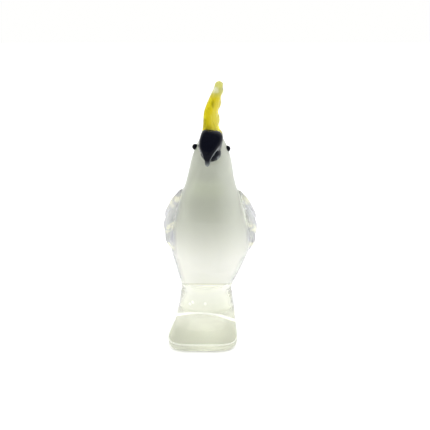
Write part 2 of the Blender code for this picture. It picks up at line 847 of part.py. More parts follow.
def main():
    clear_scene()
    clear = glass("clear_glass", (0.93, 0.96, 0.90), 0.02, 1.0)
    white = glass("white_glass", (0.86, 0.88, 0.82), 0.10, 0.0)
    yellow = glass("yellow_glass", (0.60, 0.50, 0.02), 0.10, 0.2)
    black = glass("black_glass", (0.006, 0.007, 0.012), 0.05, 0.0)
    body_cutter = body_solid("body_cutter", -GAP, False, is_cutter=True)
    beak_cutter = upper_beak("beak_cutter", GAP, is_cutter=True)
    tail_cutter = tail_solid("tail_cutter", GAP, is_cutter=True)
    make_foot(clear)
    make_body_casing(clear)
    make_body_core(white)
    make_wing("wing_left", 1, clear, (body_cutter, tail_cutter))
    make_wing("wing_right", -1, clear, (body_cutter, tail_cutter))
    tail = tail_solid("tail", 0.0, clear)
    cut(tail, body_cutter)
    make_crest(clear, yellow, body_cutter, beak_cutter)
    make_beak(black, body_cutter, beak_cutter)
    make_eye("eye_left", 1, black, (body_cutter, beak_cutter))
    make_eye("eye_right", -1, black, (body_cutter, beak_cutter))


main()
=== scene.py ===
"""Looks of a hot-worked glass cockatoo: clear glass over a white core, on its own foot.

The bird faces -Y, its left side is +X, and it stands on the plane Z = 0. Units are metres.
All the clear glass is fused, so it is made as one mesh that stands for the foot, the casing
of the body, the wings, the tail and the casing of the crest. The white core, the yellow
core of the crest, the black beak and the eyes are pieces of their own inside it and on it.
"""

import logging
import math
from dataclasses import dataclass, field
from enum import Enum
from typing import Optional, Sequence, Union

import bmesh
import bpy
import numpy as np
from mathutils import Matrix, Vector


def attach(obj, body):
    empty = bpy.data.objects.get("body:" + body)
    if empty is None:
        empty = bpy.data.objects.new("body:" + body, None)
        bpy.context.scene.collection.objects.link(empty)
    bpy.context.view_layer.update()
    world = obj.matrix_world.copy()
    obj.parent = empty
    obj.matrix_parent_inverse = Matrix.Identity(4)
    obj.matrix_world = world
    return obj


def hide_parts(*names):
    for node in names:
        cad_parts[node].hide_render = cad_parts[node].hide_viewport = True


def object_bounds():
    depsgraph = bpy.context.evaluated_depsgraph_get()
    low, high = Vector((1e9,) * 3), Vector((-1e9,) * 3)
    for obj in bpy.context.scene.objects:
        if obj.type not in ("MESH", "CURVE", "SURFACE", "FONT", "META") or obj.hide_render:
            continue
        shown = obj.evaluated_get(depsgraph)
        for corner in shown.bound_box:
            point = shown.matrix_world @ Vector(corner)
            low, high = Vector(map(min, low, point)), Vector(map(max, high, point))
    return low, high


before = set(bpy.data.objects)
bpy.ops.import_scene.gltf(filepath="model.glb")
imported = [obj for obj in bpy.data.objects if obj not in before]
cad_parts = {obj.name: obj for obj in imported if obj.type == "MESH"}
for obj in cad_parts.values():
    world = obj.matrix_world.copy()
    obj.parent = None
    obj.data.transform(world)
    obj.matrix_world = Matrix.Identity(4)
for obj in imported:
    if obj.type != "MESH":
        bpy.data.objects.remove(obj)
CAD_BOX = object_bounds()

log = logging.getLogger("cockatoo")

BODY = "root"
MILLIMETRE = 0.001

HALF_TURN = 180.0

# The colour sockets of a Mix node, which share their names with its other ones.
MIX_LOW, MIX_HIGH = 6, 7

# How a mesh's levels are told apart, and the thickness from which a groove has its full depth.
LEVEL_DIGITS = 5
LEVEL_REACH = 0.006 * MILLIMETRE
FULL_GROOVE = 6 * MILLIMETRE

Run = tuple[float, float]
Triple = tuple[float, float, float]
Span = tuple[float, float, float, float]
Colour = Triple


class Side(Enum):
    """A side of the bird, as the sign of its X."""

    LEFT = 1
    RIGHT = -1


class Slot(Enum):
    """The record's material slots."""

    CLEAR = "clear_glass"
    WHITE = "white_glass"
    YELLOW = "yellow_glass"
    BLACK = "black_glass"


# Node trees


class Signal:
    """A socket that can stand in a Python expression of numbers."""

    def __init__(self, bench: "Bench", socket: bpy.types.NodeSocket) -> None:
        """Wraps a socket.

        Args:
            bench: The tree that the socket is in.
            socket: An output socket that carries a number.
        """
        self.bench = bench
        self.socket = socket

    def _math(self, operation: str, first: "Term", second: "Term") -> "Signal":
        """Adds one Math node.

        Args:
            operation: The node's operation.
            first: Its first value or signal.
            second: Its second value or signal.

        Returns:
            The node's result.
        """
        node = self.bench.add("ShaderNodeMath", {"operation": operation}, {0: first, 1: second})
        return Signal(self.bench, node.outputs[0])

    def __add__(self, other: "Term") -> "Signal":
        """self + other."""
        return self._math("ADD", self, other)

    def __radd__(self, other: "Term") -> "Signal":
        """other + self."""
        return self._math("ADD", other, self)

    def __sub__(self, other: "Term") -> "Signal":
        """self - other."""
        return self._math("SUBTRACT", self, other)

    def __rsub__(self, other: "Term") -> "Signal":
        """other - self."""
        return self._math("SUBTRACT", other, self)

    def __mul__(self, other: "Term") -> "Signal":
        """self * other."""
        return self._math("MULTIPLY", self, other)

    def __rmul__(self, other: "Term") -> "Signal":
        """other * self."""
        return self._math("MULTIPLY", other, self)

    def __truediv__(self, other: "Term") -> "Signal":
        """self / other."""
        return self._math("DIVIDE", self, other)

    def __rtruediv__(self, other: "Term") -> "Signal":
        """other / self."""
        return self._math("DIVIDE", other, self)

    def __pow__(self, other: "Term") -> "Signal":
        """self ** other."""
        return self._math("POWER", self, other)

    def __rpow__(self, other: "Term") -> "Signal":
        """other ** self."""
        return self._math("POWER", other, self)

    def at_most(self, other: "Term") -> "Signal":
        """The smaller of self and other."""
        return self._math("MINIMUM", self, other)

    def at_least(self, other: "Term") -> "Signal":
        """The larger of self and other."""
        return self._math("MAXIMUM", self, other)

    def cosine(self) -> "Signal":
        """The cosine of self, in radians."""
        return self._math("COSINE", self, 0.0)

    def ramp(self, low: float, high: float, to_low: float = 0.0, to_high: float = 1.0) -> "Signal":
        """Eases from one value to another while self goes from low to high.

        Args:
            low: Where the change begins.
            high: Where it ends.
            to_low: The result up to low.
            to_high: The result from high on.

        Returns:
            The eased value.
        """
        node = self.bench.add(
            "ShaderNodeMapRange",
            {"interpolation_type": "SMOOTHSTEP"},
            {"Value": self, "From Min": low, "From Max": high, "To Min": to_low, "To Max": to_high},
        )
        return Signal(self.bench, node.outputs[0])

    def between(self, start: float, full: float, fading: float, end: float) -> "Signal":
        """1 between full and fading, and nothing before start and after end."""
        return self.ramp(start, full) * self.ramp(fading, end, 1.0, 0.0)


Term = Union[Signal, float]


@dataclass(frozen=True)
class Spot:
    """A place on a piece: its Object coordinates, whole and split into X, Y and Z."""

    where: bpy.types.NodeSocket
    across: Signal
    along: Signal
    height: Signal


@dataclass(frozen=True)
class Grain:
    """A noise pattern: features a metre, scales along X, Y and Z, octaves and swirl."""

    scale: float
    stretch: Triple = (1.0, 1.0, 1.0)
    octaves: float = 2.0
    swirl: float = 0.0


class Bench:
    """A node tree being put together, for a shader or for geometry."""

    def __init__(self, tree: bpy.types.NodeTree) -> None:
        """Clears a tree.

        Args:
            tree: The tree to fill.
        """
        self.tree = tree
        self.tree.nodes.clear()

    def add(
        self,
        kind: str,
        settings: Optional[dict[str, object]] = None,
        sockets: Optional[dict[Union[str, int], object]] = None,
    ) -> bpy.types.Node:
        """Adds a node.

        Args:
            kind: The node's type.
            settings: Its own properties, such as a Math node's operation.
            sockets: A value, socket or signal for each input, by name or number.

        Returns:
            The node.
        """
        node = self.tree.nodes.new(kind)
        for name, value in (settings or {}).items():
            setattr(node, name, value)
        for name, value in (sockets or {}).items():
            self.feed(node.inputs[name], value)
        return node

    def feed(self, socket: bpy.types.NodeSocket, value: object) -> None:
        """Links a socket or signal to an input, or sets the input's value.

        Args:
            socket: The input.
            value: What it gets.
        """
        if isinstance(value, Signal):
            value = value.socket
        if isinstance(value, bpy.types.NodeSocket):
            self.tree.links.new(value, socket)
        elif socket.type == "RGBA" and len(value) == 3:
            socket.default_value = (*value, 1.0)
        else:
            socket.default_value = value

    def signal(self, node: bpy.types.Node, output: Union[str, int] = 0) -> Signal:
        """A node's output as a signal."""
        return Signal(self, node.outputs[output])

    def layer(self, name: str) -> Signal:
        """A number that the piece carries for each point, for its material."""
        return self.signal(self.add("ShaderNodeAttribute", {"attribute_name": name}), "Fac")

    def mix(self, share: Term, low: object, high: object) -> bpy.types.NodeSocket:
        """Mixes two colours.

        Args:
            share: How much of the second colour shows.
            low: The first colour or socket.
            high: The second colour or socket.

        Returns:
            The mixed colour's socket.
        """
        sockets = {"Factor": share, MIX_LOW: low, MIX_HIGH: high}
        node = self.add("ShaderNodeMix", {"data_type": "RGBA"}, sockets)
        return node.outputs[2]

    def place(self) -> Spot:
        """The place on the piece."""
        where = self.add("ShaderNodeTexCoord").outputs["Object"]
        split = self.add("ShaderNodeSeparateXYZ", None, {"Vector": where})
        return Spot(where, *(self.signal(split, axis) for axis in range(3)))

    def noise(self, where: bpy.types.NodeSocket, grain: Grain) -> Signal:
        """Adds a noise pattern from 0 to 1.

        Args:
            where: The coordinates.
            grain: The pattern.

        Returns:
            The noise.
        """
        mapped = self.add("ShaderNodeMapping", None, {"Vector": where, "Scale": grain.stretch})
        sockets = {
            "Vector": mapped.outputs[0],
            "Scale": grain.scale,
            "Detail": grain.octaves,
            "Distortion": grain.swirl,
        }
        return self.signal(self.add("ShaderNodeTexNoise", None, sockets))

    def matt(self, colour: object) -> bpy.types.NodeSocket:
        """A surface without gloss, in one colour or a socket's."""
        sockets = {"Base Color": colour, "Roughness": 1.0, "Specular IOR Level": 0.0}
        return self.add("ShaderNodeBsdfPrincipled", None, sockets).outputs[0]

    def lay(self, share: Signal, below: object, above: object) -> bpy.types.NodeSocket:
        """Lays one surface over another.

        Args:
            share: How much of the upper surface shows.
            below: The lower surface's socket.
            above: The upper surface's socket.

        Returns:
            The socket of both.
        """
        return self.add("ShaderNodeMixShader", None, {0: share, 1: below, 2: above}).outputs[0]

    def bump(self, height: Signal, depth: float) -> bpy.types.NodeSocket:
        """A normal bumped by a pattern whose 1 stands depth metres over its 0."""
        return self.add("ShaderNodeBump", None, {"Height": height, "Distance": depth}).outputs[0]


def new_material(name: str) -> tuple[bpy.types.Material, Bench]:
    """Makes an empty material.

    Args:
        name: Its name.

    Returns:
        The material and a bench on its tree.
    """
    material = bpy.data.materials.new(name)
    material.use_nodes = True
    return material, Bench(material.node_tree)


# Finishes


@dataclass(frozen=True)
class ClearFinish:
    """Fire-polished clear glass with a faint green-yellow tint and a hand-worked surface, with painted
    highlights, painted shade and painted light laid over it in places.
    """

    # The glass itself, from the ground up and out to the wings.
    ground_tint: Colour = (0.88, 0.89, 0.79)
    toe_tint: Colour = (0.90, 0.92, 0.78)
    stem_tint: Colour = (0.98, 0.985, 0.88)
    tint: Colour = (0.995, 0.998, 0.98)
    # The wings' violet-grey tint is painted shade.
    wing_shade_tint: Colour = (0.80, 0.80, 0.83)
    ground_heights: Run = (0.0002, 0.0004)
    toe_heights: Run = (0.008, 0.018)
    toe_depths: Run = (-0.004, 0.010)
    stem_heights: Run = (0.022, 0.036)
    ior: float = 1.50
    absorbed: Colour = (0.75, 0.81, 0.48)
    density: float = 3.2
    smears: Grain = Grain(260.0, (1.0, 1.0, 0.3), 3.0, 0.4)
    smeared: Run = (0.55, 0.85)
    smear_roughness: float = 0.03
    toe_roughness: float = 0.16
    ground_roughness: float = 0.55
    ripple: Grain = Grain(90.0, (1.0, 1.0, 0.6))
    ripple_depth: float = 0.00004

    # Painted highlights, matt near-white: a bent line over the toe's seam, a line round the rim, a faint
    # band on the low wall, and spots in the stem.
    painted_highlight: Colour = (0.98, 0.99, 0.97)
    painted_highlight_depths: Run = (-0.006, 0.0)
    seam_height: float = 0.0144
    seam_slope: float = 0.325
    seam_middle: float = -0.0085
    seam_bend: float = 7.9
    seam_half: float = 0.0011
    seam_share: float = 0.75
    rim_height: float = 0.0060
    rim_half: float = 0.0005
    rim_share: float = 0.32
    wall_share: float = 0.08
    spots: Sequence[Run] = ((-0.0143, 0.0288), (-0.0038, 0.0288), (-0.0166, 0.0268))
    spot_half: float = 0.0017
    spot_share: float = 0.60

    # Painted shade: grey where the sides of the body and the stem turn away.
    edge: Colour = (0.42, 0.425, 0.44)
    edge_blend: float = 0.5
    edge_facing: Run = (0.50, 0.85)
    edge_share: float = 0.65
    flank_heights: Span = (0.042, 0.048, 0.066, 0.072)
    stem_sides: Span = (0.016, 0.022, 0.030, 0.036)

    # Painted shade in the wings, a matt violet grey, with painted pale glints that slant down and out
    # with the feathers.
    wing_shade: Colour = (0.36, 0.36, 0.41)
    wing_shade_share: float = 0.45
    wing_middle: float = 0.0014
    wing_reach: Run = (0.027, 0.031)
    wing_heights: Span = (0.066, 0.072, 0.121, 0.127)
    wing_depths: Run = (0.006, 0.026)
    wing_rear_share: float = 0.35
    chest_height: float = 0.098
    narrowing: float = 0.0143
    glint: Colour = (0.70, 0.70, 0.53)
    glint_height: float = 0.1250
    glint_pitch: float = 0.0185
    glint_slant: float = 12.0
    glinting: Run = (0.0, 1.60)
    sparkle: Grain = Grain(170.0, (1.0, 1.0, 1.5), 2.0, 0.5)
    sparkle_strength: float = 3.4

    # Painted light in the front of the stem, a matt cream.
    stem_light: Colour = (0.71, 0.72, 0.64)
    low_stem_light: Colour = (0.61, 0.63, 0.52)
    stem_light_share: float = 0.48
    stem_light_heights: Span = (0.016, 0.022, 0.041, 0.047)
    stem_light_depths: Run = (-0.012, -0.002)

    def material(self) -> bpy.types.Material:
        """Builds the material."""
        material, bench = new_material("clear_glass")
        at = bench.place()
        wing = self._wing(at)
        # Where the stem's painted light shows.
        stem_light = at.height.between(*self.stem_light_heights) * at.along.ramp(*self.stem_light_depths, 1.0, 0.0)
        outside = 1.0 - bench.signal(bench.add("ShaderNodeNewGeometry"), "Backfacing")
        # How much painted shade shows in the wings and painted light in the stem, on the outside only.
        painted_share = (wing * self.wing_shade_share + stem_light * self.stem_light_share) * outside
        weight = bench.add("ShaderNodeLayerWeight", None, {"Blend": self.edge_blend})
        sides = at.height.between(*self.flank_heights) + at.height.between(*self.stem_sides)
        turning_shade = bench.signal(weight, "Facing").ramp(*self.edge_facing, 0.0, self.edge_share)
        # Painted highlights, matt near-white, laid over the clear glass.
        surface = bench.lay(self._painted_highlights(at), self._glass(bench, at, wing), bench.matt(self.painted_highlight))
        surface = bench.lay(painted_share, surface, bench.matt(self._painted_colour(bench, at, stem_light)))
        # Painted shade, matt grey, at the turning sides of the lower body and the stem.
        surface = bench.lay(turning_shade * sides * outside, surface, bench.matt(self.edge))
        volume = bench.add(
            "ShaderNodeVolumeAbsorption", None, {"Color": self.absorbed, "Density": self.density}
        )
        sockets = {"Surface": surface, "Volume": volume.outputs[0]}
        bench.add("ShaderNodeOutputMaterial", None, sockets)
        return material

    def _wing(self, at: Spot) -> Signal:
        """1 in the front of the wings, less towards their rear."""
        out = at.across - self.wing_middle
        narrowed = (at.height - self.chest_height).at_least(0.0) * self.narrowing
        near, far = self.wing_reach
        wing = (out * out + narrowed).ramp(near ** 2, far ** 2)
        wing = wing * at.height.between(*self.wing_heights)
        return wing * at.along.ramp(*self.wing_depths, 1.0, self.wing_rear_share)

    def _glass(self, bench: Bench, at: Spot, wing: Signal) -> bpy.types.NodeSocket:
        """Builds the clear glass, without what lies in it.

        Args:
            bench: The material's bench.
            at: The place on the piece.
            wing: How much of the wings' tint, which is painted shade, shows.

        Returns:
            The surface's socket.
        """
        toe = at.height.ramp(*self.toe_heights, 1.0, 0.0) * at.along.ramp(*self.toe_depths, 1.0, 0.0)
        tint = bench.mix(toe, self.stem_tint, self.toe_tint)
        tint = bench.mix(at.height.ramp(*self.stem_heights), tint, self.tint)
        tint = bench.mix(wing, tint, self.wing_shade_tint)
        tint = bench.mix(at.height.ramp(*self.ground_heights), self.ground_tint, tint)
        smears = bench.noise(at.where, self.smears)
        polished = smears.ramp(*self.smeared, 0.0, self.smear_roughness) + toe * self.toe_roughness
        ground = at.height.ramp(*self.ground_heights, self.ground_roughness, 0.0)
        sockets = {
            "Base Color": tint,
            "Roughness": polished.at_least(ground),
            "IOR": self.ior,
            "Transmission Weight": 1.0,
            "Normal": bench.bump(bench.noise(at.where, self.ripple), self.ripple_depth),
        }
        return bench.add("ShaderNodeBsdfPrincipled", None, sockets).outputs[0]

    def _painted_highlights(self, at: Spot) -> Signal:
        """Marks the painted highlights on the foot and in the stem.

        Args:
            at: The place on the piece.

        Returns:
            How much of the painted highlights shows.
        """
        aside = at.across - self.seam_middle
        risen = at.height + at.along * self.seam_slope + aside * aside * self.seam_bend
        seam = self._line(risen - self.seam_height, self.seam_half)
        rim = self._line(at.height - self.rim_height, self.rim_half)
        wall = at.height.ramp(self.rim_height - self.rim_half, self.rim_height, self.wall_share, 0.0)
        wall = wall * at.height.ramp(*self.ground_heights)
        share = seam * self.seam_share + rim * self.rim_share + wall
        for across, height in self.spots:
            beside, above = at.across - across, at.height - height
            spot = (beside * beside + above * above).ramp(0.0, self.spot_half ** 2, 1.0, 0.0)
            share = share + spot * self.spot_share
        return share.at_most(1.0) * at.along.ramp(*self.painted_highlight_depths, 1.0, 0.0)

    def _painted_colour(self, bench: Bench, at: Spot, stem_light: Signal) -> bpy.types.NodeSocket:
        """Mixes the painted colours: violet-grey shade with pale glints in the wings, and cream light in
        the stem.

        Args:
            bench: The material's bench.
            at: The place on the piece.
            stem_light: How much of the stem's painted light shows, and not the wings' painted shade.

        Returns:
            The colour's socket.
        """
        out = at.across - self.wing_middle
        feathers = at.height + out * out * self.glint_slant - self.glint_height
        sparkle = (bench.noise(at.where, self.sparkle) - 0.5) * self.sparkle_strength
        glint = (feathers * (math.tau / self.glint_pitch)).cosine() + sparkle
        shaded_wing = bench.mix(glint.ramp(*self.glinting), self.wing_shade, self.glint)
        low, _, high, _ = self.stem_light_heights
        stem_lit = bench.mix(at.height.ramp(low, high), self.low_stem_light, self.stem_light)
        return bench.mix(stem_light, shaded_wing, stem_lit)

    @staticmethod
    def _line(offset: Signal, half: float) -> Signal:
        """1 on a line and nothing past its half width, from the distance to its middle."""
        return (offset * offset).ramp(0.0, half * half, 1.0, 0.0)


@dataclass(frozen=True)
class OpalFinish:
    """White opal glass with faint swirls, a little greyer and greener up the neck, partly its own tone
    and partly painted shade; with painted shade on the flanks, painted light on a band round the front
    of the neck and on the left cheek, and a faint painted glow at the lower end.
    """

    belly: Colour = (0.98, 0.98, 0.94)
    shaded_flank: Colour = (0.82, 0.83, 0.79)
    neck: Colour = (0.56, 0.58, 0.51)
    lit_collar: Colour = (0.62, 0.65, 0.55)
    lit_cheek: Colour = (0.66, 0.68, 0.62)
    swirl: Colour = (0.80, 0.83, 0.76)
    hem: Colour = (0.72, 0.73, 0.58)
    hem_end: Colour = (0.34, 0.35, 0.32)
    lit: Colour = (1.0, 0.99, 0.90)
    neck_heights: Run = (0.058, 0.118)
    lit_collar_heights: Span = (0.116, 0.127, 0.130, 0.138)
    belly_front: Run = (0.05, 0.75)
    lit_collar_front: Run = (0.3, 0.9)
    lit_cheek_left: Run = (0.1, 0.8)
    corner_left: Run = (-0.95, -0.75)
    lit_end: Run = (0.6, 1.0)
    lit_strength: float = 0.21
    swirls: Grain = Grain(55.0, (1.0, 1.0, 0.45), 3.0, 0.8)
    swirled: Run = (0.45, 0.75)
    swirl_share: float = 0.22
    grain: Grain = Grain(900.0)
    grained: Run = (0.3, 0.7)
    roughness: Run = (0.5, 0.65)
    glow: float = 0.25
    glow_reach: float = 0.012
    glow_spread: Triple = (1.0, 1.0, 0.9)

    def material(self) -> bpy.types.Material:
        """Builds the material."""
        material, bench = new_material("white_glass")
        at = bench.place()
        front, left, hem, end = (bench.layer(name) for name in ("front", "left", "hem", "end"))
        # Painted shade: the sides and back of the lower body greyer than the front of the belly.
        belly = bench.mix(front.ramp(*self.belly_front), self.shaded_flank, self.belly)
        # Painted light: a paler band round the front of the neck. The neck's own grey is partly its tone
        # and partly painted shade.
        collar_light = at.height.between(*self.lit_collar_heights) * front.ramp(*self.lit_collar_front)
        neck = bench.mix(collar_light, self.neck, self.lit_collar)
        # Painted light on the bird's left cheek.
        neck = bench.mix(left.ramp(*self.lit_cheek_left), neck, self.lit_cheek)
        colour = bench.mix(at.height.ramp(*self.neck_heights), belly, neck)
        swirls = bench.noise(at.where, self.swirls).ramp(*self.swirled, 0.0, self.swirl_share)
        colour = bench.mix(swirls, colour, self.swirl)
        corner = left.ramp(*self.corner_left, 1.0, 0.0)
        colour = bench.mix(hem, colour, bench.mix(corner, self.hem, self.hem_end))
        grain = bench.noise(at.where, self.grain)
        # The emission at the lower end is painted light.
        shader = bench.add(
            "ShaderNodeBsdfPrincipled",
            {"subsurface_method": "RANDOM_WALK"},
            {
                "Base Color": colour,
                "Roughness": grain.ramp(*self.grained, *self.roughness),
                "Specular IOR Level": 0.0,
                "Emission Color": bench.mix(end.ramp(*self.lit_end), (0.0, 0.0, 0.0), self.lit),
                "Emission Strength": self.lit_strength,
                "Subsurface Weight": self.glow,
                "Subsurface Radius": self.glow_spread,
                "Subsurface Scale": self.glow_reach,
            },
        )
        bench.add("ShaderNodeOutputMaterial", None, {"Surface": shader.outputs[0]})
        return material


@dataclass(frozen=True)
class YellowFinish:
    """Yellow glass drawn out into streaks along the crest, paler at the tip."""

    yellow: Colour = (0.76, 0.655, 0.018)
    bright: Colour = (0.80, 0.74, 0.05)
    olive: Colour = (0.38, 0.32, 0.008)
    pale: Colour = (0.62, 0.61, 0.20)
    frost: Colour = (0.86, 0.86, 0.66)
    fine: Grain = Grain(420.0, (1.0, 1.0, 0.16), 3.0, 0.3)
    broad: Grain = Grain(170.0, (1.0, 1.0, 0.35), 2.0, 0.6)
    streaked: Run = (0.42, 0.68)
    shaded: Run = (0.50, 0.72)
    olive_share: float = 0.75
    pale_heights: Run = (0.193, 0.201)
    frost_height: float = 0.2005
    frost_half: float = 0.0028
    frost_aside: Run = (0.0058, 0.0078)
    frost_shares: Run = (0.85, 0.1)
    frosted: Run = (0.3, 0.6)
    frost_least: float = 0.4
    grained: Run = (0.3, 0.7)
    roughness: Run = (0.35, 0.55)
    streak_depth: float = 0.0003
    glow: float = 0.25
    glow_reach: float = 0.004
    glow_spread: Triple = (1.0, 0.9, 0.2)

    def material(self) -> bpy.types.Material:
        """Builds the material."""
        material, bench = new_material("yellow_glass")
        at = bench.place()
        fine = bench.noise(at.where, self.fine)
        broad = bench.noise(at.where, self.broad)
        colour = bench.mix(fine.ramp(*self.streaked), self.yellow, self.bright)
        colour = bench.mix(broad.ramp(*self.shaded, 0.0, self.olive_share), colour, self.olive)
        colour = bench.mix(at.height.ramp(*self.pale_heights), colour, self.pale)
        above = at.height - self.frost_height
        frost = (above * above).ramp(0.0, self.frost_half ** 2, 1.0, 0.0)
        frost = frost * at.across.ramp(*self.frost_aside, *self.frost_shares)
        frost = frost * fine.ramp(*self.frosted, self.frost_least, 1.0)
        shader = bench.add(
            "ShaderNodeBsdfPrincipled",
            None,
            {
                "Base Color": bench.mix(frost, colour, self.frost),
                "Roughness": fine.ramp(*self.grained, *self.roughness),
                "Specular IOR Level": 0.0,
                "Subsurface Weight": self.glow,
                "Subsurface Radius": self.glow_spread,
                "Subsurface Scale": self.glow_reach,
                "Normal": bench.bump(fine, self.streak_depth),
            },
        )
        bench.add("ShaderNodeOutputMaterial", None, {"Surface": shader.outputs[0]})
        return material


@dataclass(frozen=True)
class BlackFinish:
    """Glossy black glass with a bluish cast, greyer at the nib where the thin glass lets light in, and
    with painted grey highlights along the lips and on the chin.
    """

    black: Colour = (0.0028, 0.0032, 0.0065)
    grey: Colour = (0.22, 0.24, 0.24)
    ior: float = 1.28
    clouds: Grain = Grain(350.0, (1.0, 1.0, 1.0), 3.0, 0.5)
    greyed: Run = (0.3, 0.7)
    grey_least: float = 0.7
    smeared: Run = (0.35, 0.75)
    roughness: Run = (0.04, 0.16)
    cloud_depth: float = 0.00006

    def material(self) -> bpy.types.Material:
        """Builds the material."""
        material, bench = new_material("black_glass")
        clouds = bench.noise(bench.place().where, self.clouds)
        # Grey on the layer edge: painted highlights on the lips and the chin, and the thin glass at the
        # nib.
        share = bench.layer("edge") * clouds.ramp(*self.greyed, self.grey_least, 1.0)
        shader = bench.add(
            "ShaderNodeBsdfPrincipled",
            None,
            {
                "Base Color": bench.mix(share, self.black, self.grey),
                "Roughness": clouds.ramp(*self.smeared, *self.roughness),
                "IOR": self.ior,
                "Normal": bench.bump(clouds, self.cloud_depth),
            },
        )
        bench.add("ShaderNodeOutputMaterial", None, {"Surface": shader.outputs[0]})
        return material


# Shapes


def smoothed(
    rows: np.ndarray, steps: int, sizes: Sequence[int], round_start: bool = False
) -> np.ndarray:
    """Rows of numbers joined by a smooth run of in-between ones, the last end round.

    Args:
        rows: One row for each station, the last with no size.
        steps: How many rows each span takes.
        sizes: The columns that pass through nothing at a round end.
        round_start: Whether the first end is round as well.

    Returns:
        The finer rows.
    """
    rows = np.asarray(rows, float)
    flip = np.ones(rows.shape[1:])
    flip[list(sizes)] = -1.0
    first = rows[1] * flip if round_start else 2 * rows[0] - rows[1]
    guides = np.concatenate([first[None], rows, (rows[-2] * flip)[None]])
    return np.array([*spline(guides, steps), rows[-1]])


def spline(guides: np.ndarray, steps: int) -> np.ndarray:
    """A smooth run through guides at even steps, from the second to just before the last but one."""
    spans = range(len(guides) - 3)
    return np.array([catmull_rom(guides, span, step / steps) for span in spans for step in range(steps)])


def catmull_rom(guides: np.ndarray, span: int, t: float) -> np.ndarray:
    """A smooth value in the span after guides[span + 1], led by its neighbours."""
    before, start, end, after = guides[span:span + 4]
    out_of_start = (end - before) / 2
    into_end = (after - start) / 2
    rise = end - start
    bend = out_of_start + into_end - 2 * rise
    sag = 3 * rise - 2 * out_of_start - into_end
    return start + t * (out_of_start + t * (sag + t * bend))


def signed_power(values: np.ndarray, power: float) -> np.ndarray:
    """A power of each value's size, with the value's own sign."""
    return np.sign(values) * np.abs(values) ** power


def evened(rows: np.ndarray, passes: int) -> np.ndarray:
    """Rows of numbers with each drawn towards its neighbours, the two at each end kept."""
    rows = rows.copy()
    for _ in range(passes):
        rows[2:-2] = (rows[1:-3] + 2 * rows[2:-2] + rows[3:-1]) / 4
    return rows


def circle(sides: int) -> np.ndarray:
    """Angles round a full turn."""
    return math.tau * np.arange(sides) / sides


def loft(
    name: str,
    loops: Sequence[np.ndarray],
    tip: Optional[Sequence[float]] = None,
    start: Optional[Sequence[float]] = None,
    layers: Optional[dict[str, np.ndarray]] = None,
) -> bpy.types.Object:
    """Makes a closed mesh through loops of points.

    Args:
        name: The object's name.
        loops: Loops of as many points each.
        tip: The point that closes the last loop, or none for a flat end.
        start: The point that closes the first loop, or none for a flat end.
        layers: A number or a vector for each point of the loops, by name.

    Returns:
        The object, at the origin.
    """
    mesh = bmesh.new()
    rows = [[mesh.verts.new(point) for point in loop] for loop in loops]
    count = len(loops[0])
    for lower, upper in zip(rows, rows[1:]):
        for index in range(count):
            after = (index + 1) % count
            mesh.faces.new((lower[index], lower[after], upper[after], upper[index]))
    for loop, point in ((rows[0], start), (rows[-1], tip)):
        if point is None:
            mesh.faces.new(loop)
            continue
        end = mesh.verts.new(point)
        for index in range(count):
            mesh.faces.new((loop[index], loop[(index + 1) % count], end))
    bmesh.ops.recalc_face_normals(mesh, faces=mesh.faces[:])
    data = bpy.data.meshes.new(name)
    mesh.to_mesh(data)
    mesh.free()
    data.shade_smooth()
    for layer, values in (layers or {}).items():
        add_layer(data, layer, values)
    piece = bpy.data.objects.new(name, data)
    bpy.context.scene.collection.objects.link(piece)
    return piece


def add_layer(data: bpy.types.Mesh, name: str, values: np.ndarray) -> None:
    """Writes a number or a vector for each point to a mesh.

    Args:
        data: The mesh.
        name: The attribute's name.
        values: The values of its first points. The others get nothing.
    """
    is_vector = values.ndim == 2
    full = np.zeros((len(data.vertices), 3) if is_vector else len(data.vertices), np.float32)
    full[:len(values)] = values
    layer = data.attributes.new(name, "FLOAT_VECTOR" if is_vector else "FLOAT", "POINT")
    layer.data.foreach_set("vector" if is_vector else "value", full.ravel())


def settle(piece: bpy.types.Object) -> bpy.types.Object:
    """Turns a piece's modifiers into its plain mesh.

    Args:
        piece: The piece.

    Returns:
        The same object with its evaluated mesh.
    """
    graph = bpy.context.evaluated_depsgraph_get()
    data = bpy.data.meshes.new_from_object(piece.evaluated_get(graph), depsgraph=graph)
    piece.modifiers.clear()
    old = piece.data
    piece.data = data
    bpy.data.meshes.remove(old)
    data.name = piece.name
    return piece


def node_levels(node: str) -> list[np.ndarray]:
    """The points of a CAD node at each of its heights, from the lowest up.

    Args:
        node: The node's name.

    Returns:
        One array of points for each height.
    """
    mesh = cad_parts[node].data
    points = np.array([vert.co for vert in mesh.vertices], float).round(LEVEL_DIGITS + 1)
    points = np.unique(points, axis=0)
    heights = np.unique(points[:, 2].round(LEVEL_DIGITS))
    return [points[np.abs(points[:, 2] - height) < LEVEL_REACH] for height in heights]


def round_rings(node: str) -> np.ndarray:
    """Height, centre, width and depth of each level outline of a CAD node.

    Args:
        node: A node of round level outlines that ends in a point.

    Returns:
        One row for each outline, the last with no width or depth.
    """
    rows = []
    for points in node_levels(node):
        low = points.min(0)
        high = points.max(0)
        middle = (low + high) / 2
        rows.append([middle[2], middle[0], middle[1], high[0] - low[0], high[1] - low[1]])
    outer = [row for row in rows if not any(is_inside(row, other) for other in rows)]
    return np.array(outer)


def is_inside(row: Sequence[float], other: Sequence[float]) -> bool:
    """Whether an outline is the inner one of two at nearly the same height."""
    near = abs(row[0] - other[0]) < 2 * MILLIMETRE
    is_narrower = row[3] < other[3] - MILLIMETRE
    return near and (is_narrower or (row[3] == 0.0 and other[0] > row[0]))


def ring_loops(rings: np.ndarray, sides: int) -> list[np.ndarray]:
    """Points round each ring of a run of level outlines."""
    turn = circle(sides)
    loops = []
    for z, x, y, width, depth in rings:
        across = x + width / 2 * np.cos(turn)
        along = y + depth / 2 * np.sin(turn)
        loops.append(np.stack([across, along, np.full(sides, z)], 1))
    return loops


